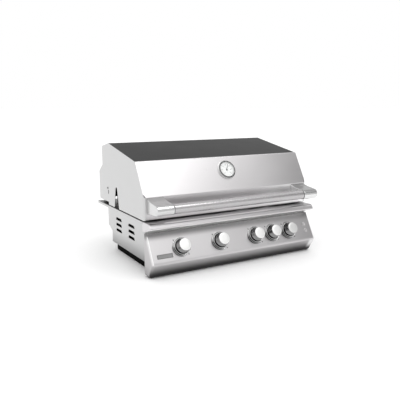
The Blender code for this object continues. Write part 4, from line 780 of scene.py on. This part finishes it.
# Dark and uneven, seasoned with oil, with the mould's grain catching the light.
cast_steel = surface(
    "cast_stainless", "#6E6C6A", 1.0, 0.48, CAST_GRAIN, contrast=0.15, depth=CAST_DEPTH, bump=0.6)
pitch = (GRATE_WIDTH - BAR_WIDTH) / (GRATE_BARS - 1)
bars = []
for number in range(GRATE_BARS):
    start = GRATE_START + number * pitch
    low = (start, GRATE_FRONT, GRATE_LOW)
    high = (start + BAR_WIDTH, GRATE_REAR, GRATE_TOP)
    bars.append(block("bar", low, high, BAR_EDGE, EDGE_STEPS))
for start in (GRATE_FRONT, GRATE_REAR - RAIL_WIDTH):
    low = (GRATE_START, start, GRATE_LOW)
    high = (GRATE_START + GRATE_WIDTH, start + RAIL_WIDTH, GRATE_TOP - RAIL_DROP)
    bars.append(block("rail", low, high, RAIL_EDGE, EDGE_STEPS))
grate = merge(bars, "grate_form")
for number in range(GRATE_COUNT):
    place = Matrix.Translation((GRATE_STEP * number, 0.0, 0.0))
    piece = twin(grate, f"cast_grate_{number + 1}", place)
    settle(piece, cast_steel, "grill_body")
    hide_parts(f"cooking_grate_{number + 1}")
remove(grate)

# Warming rack
# Drawn stainless wire, spot welded: two long wires, the cross wires between them, and four legs.

RACK_HALF = 0.380
RACK_FRONT = 0.038
RACK_REAR = 0.134
RACK_TOP = 0.3715
RACK_FOOT = 0.2173
WIRE = 0.0025
CROSS_WIRE = 0.0020
CROSS_SIDES = 10
RACK_BARS = 26
WIRE_GRAIN = 0.0015
END_INSET = 0.3
WIRE_SMOOTH = math.radians(50)


def wire(start, end, radius, sides=12):
    """A round wire between two points with its ends rounded over."""
    bpy.ops.object.select_all(action="DESELECT")
    start, end = Vector(start), Vector(end)
    bpy.ops.mesh.primitive_cylinder_add(vertices=sides, radius=radius, depth=(end - start).length)
    piece = bpy.context.object
    bpy.ops.object.mode_set(mode="EDIT")
    bpy.ops.mesh.select_mode(type="FACE")
    pick(piece, lambda face: abs(face.normal.z) > SQUARE_ON)
    bpy.ops.mesh.inset(thickness=radius * END_INSET, use_individual=True)
    stretch = 1.0 + radius * END_INSET / (end - start).length
    bpy.ops.transform.resize(value=(1.0, 1.0, stretch))
    bpy.ops.object.mode_set(mode="OBJECT")
    bpy.ops.object.shade_smooth_by_angle(angle=WIRE_SMOOTH)
    aim = (end - start).to_track_quat("Z", "Y").to_matrix().to_4x4()
    piece.data.transform(Matrix.Translation((start + end) / 2) @ aim)
    return piece


# Grey wire, browned a little by smoke and painted darker as painted shade for the inside of the hood,
# with a long highlight.
drawn_wire = surface("drawn_wire", "#5C5A56", 1.0, 0.36, WIRE_GRAIN, contrast=0.12)
middle = RACK_TOP - WIRE
wires = []
for y in (RACK_FRONT + WIRE, RACK_REAR - WIRE):
    wires.append(wire((-RACK_HALF + WIRE, y, middle), (RACK_HALF - WIRE, y, middle), WIRE))
    for side in (-1, 1):
        leg = side * (RACK_HALF - WIRE)
        wires.append(wire((leg, y, RACK_FOOT), (leg, y, middle), WIRE))
step = (RACK_HALF - WIRE) * 2 / (RACK_BARS + 1)
for number in range(RACK_BARS + 2):
    across = -RACK_HALF + WIRE + step * number
    front, rear = (across, RACK_FRONT + WIRE, middle), (across, RACK_REAR - WIRE, middle)
    wires.append(wire(front, rear, CROSS_WIRE, CROSS_SIDES))
rack = merge(wires, "wire_rack")
settle(rack, drawn_wire, "grill_body")
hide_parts("warming_rack")

# Flame tamers
# Folded sheet roofs over the burners, slotted down both slopes, blued and browned by the flame.

TAMER_PLACES = (-0.27, -0.09, 0.09, 0.27)
TAMER_HALF = 0.055
TAMER_FRONT = -0.1872
TAMER_REAR = 0.1192
TAMER_FOOT = 0.1593
TAMER_RISE = 0.028
TAMER_SHOULDER = 0.050
TAMER_COLUMNS = 22
TAMER_ROWS = 36
SLOT_EVERY = 6
SLOT_ROWS = (2, 3, 4)
SHEET = 0.0014
FOLD_SMOOTH = math.radians(20)

bpy.ops.object.select_all(action="DESELECT")
bpy.ops.mesh.primitive_grid_add(x_subdivisions=TAMER_COLUMNS, y_subdivisions=TAMER_ROWS, size=1.0)
tamer = bpy.context.object
bpy.ops.object.mode_set(mode="EDIT")
bpy.ops.mesh.select_all(action="SELECT")
size = (TAMER_HALF * 2, TAMER_REAR - TAMER_FRONT, 1.0)
bpy.ops.transform.resize(value=size, center_override=(0.0, 0.0, 0.0))
bpy.ops.mesh.select_mode(type="FACE")
row_length = size[1] / TAMER_ROWS
half_column = TAMER_HALF / TAMER_COLUMNS
slot_side = TAMER_HALF / 2


def slotted(face):
    """True for the grid faces that are punched out."""
    row = int((face.center.y + size[1] / 2) / row_length)
    return abs(abs(face.center.x) - slot_side) < half_column and row % SLOT_EVERY in SLOT_ROWS


pick(tamer, slotted)
bpy.ops.mesh.delete(type="FACE")
bpy.ops.object.mode_set(mode="OBJECT")
for column in range(TAMER_COLUMNS // 2 + 1):
    away = column * 2 * half_column
    lift = TAMER_RISE * max(1 - away / TAMER_SHOULDER, 0.0)
    for vert in tamer.data.vertices:
        vert.select = abs(abs(vert.co.x) - away) < half_column / 2
    for face in tamer.data.polygons:
        face.select = False
    for edge in tamer.data.edges:
        edge.select = False
    bpy.ops.object.mode_set(mode="EDIT")
    bpy.ops.mesh.select_mode(type="VERT")
    bpy.ops.transform.translate(value=(0.0, 0.0, lift))
    bpy.ops.object.mode_set(mode="OBJECT")
solid = tamer.modifiers.new("sheet", "SOLIDIFY")
solid.thickness = SHEET
solid.offset = 1.0
bpy.ops.object.modifier_apply(modifier="sheet")
bpy.ops.object.shade_smooth_by_angle(angle=FOLD_SMOOTH)
for number, across in enumerate(TAMER_PLACES, start=1):
    spot = Matrix.Translation((across, (TAMER_FRONT + TAMER_REAR) / 2, TAMER_FOOT))
    piece = twin(tamer, f"slotted_tamer_{number}", spot)
    settle(piece, hot_steel, "grill_body")
    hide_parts(f"flame_tamer_{number}")
remove(tamer)

# Burner ports
# Two rows of drilled ports along each burner tube, drawn as black discs: soot, and painted shade for
# the dark inside each port.

BURNER_LIFT = 0.10372
BURNER_RADIUS = 0.0127
PORT_TURN = math.radians(35)
PORT_START = -0.170
PORT_STEP = 0.0105
PORT_COUNT = 25
PORT_ROUND = 10
PORT_FORM = ((0.0014, -0.0004), (0.0014, 0.0001), (0.0011, 0.00015), (0.0008, -0.0002))

# Matt black, blacker than any shadow round it: soot and painted shade.
soot_and_shade = surface("soot_and_shade", "#0E0D0C", 0.0, 0.85, FINE, contrast=0.3)
port = turn("port_form", PORT_FORM, PORT_ROUND)
ports = []
for number in range(PORT_COUNT):
    for side in (-1, 1):
        lean = Matrix.Rotation(side * PORT_TURN, 4, "Y")
        spot = Matrix.Translation((0.0, PORT_START + PORT_STEP * number, BURNER_LIFT)) @ lean
        ports.append(twin(port, "port", spot @ Matrix.Translation((0.0, 0.0, BURNER_RADIUS))))
row = merge(ports, "port_row")
for number, across in enumerate(TAMER_PLACES, start=1):
    piece = twin(row, f"burner_ports_{number}", Matrix.Translation((across, 0.0, 0.0)))
    settle(piece, soot_and_shade, "grill_body")
for piece in (port, row):
    remove(piece)

# Rear burner
# A porous ceramic tile stands behind a guard of welded wire. The tile is pale clay with a tight grid
# of flame holes, drawn as dark dots 4 mm apart because the real ones are too fine to show; their dark
# is painted shade.

TILE_LOW = (-0.2252, 0.1430, 0.2321)
TILE_HIGH = (0.2252, 0.1467, 0.3065)
GUARD_FRONT = 0.1405
GUARD_WIRE = 0.0006
GUARD_SIDES = 6
GUARD_STEP = 0.0125
HOLE_STEP = 0.004
HOLE_EDGE = (0.62, 0.45)
CLAY_GRAIN = 0.003
CLAY_DEPTH = 0.0003
TILE_EDGE = 0.0008

# Chalky clay that takes light evenly, with no shine.
ceramic = surface(
    "ceramic_tile", "#C9BBA2", 0.0, 0.85, CLAY_GRAIN, contrast=0.1, depth=CLAY_DEPTH, bump=0.5)
tree = ceramic.node_tree
spot = add_node(tree, "ShaderNodeTexCoord").outputs["Object"]
scale = (1 / HOLE_STEP,) * 3
cells = {"Scale": 1.0, "Randomness": 0.0, "voronoi_dimensions": "3D"}
drawn = add_node(tree, "ShaderNodeMapping", {"Scale": scale}, {"Vector": spot}).outputs["Vector"]
holes = add_node(tree, "ShaderNodeTexVoronoi", cells, {"Vector": drawn})
# The dark dots are painted shade for the flame holes.
over_base(ceramic, ramp(tree, holes.outputs["Distance"], *HOLE_EDGE), "#4A4034")
tile = block("ceramic_tile", TILE_LOW, TILE_HIGH, TILE_EDGE)
settle(tile, ceramic, "grill_body")
guard = []
across = TILE_LOW[0]
while across < TILE_HIGH[0] + GUARD_STEP / 2:
    low, high = (across, GUARD_FRONT, TILE_LOW[2]), (across, GUARD_FRONT, TILE_HIGH[2])
    guard.append(wire(low, high, GUARD_WIRE, GUARD_SIDES))
    across += GUARD_STEP
up = TILE_LOW[2] + GUARD_STEP / 2
while up < TILE_HIGH[2]:
    y = GUARD_FRONT + GUARD_WIRE * 2
    guard.append(wire((TILE_LOW[0], y, up), (TILE_HIGH[0], y, up), GUARD_WIRE, GUARD_SIDES))
    up += GUARD_STEP
guard = merge(guard, "rear_burner_guard")
settle(guard, drawn_wire, "grill_body")
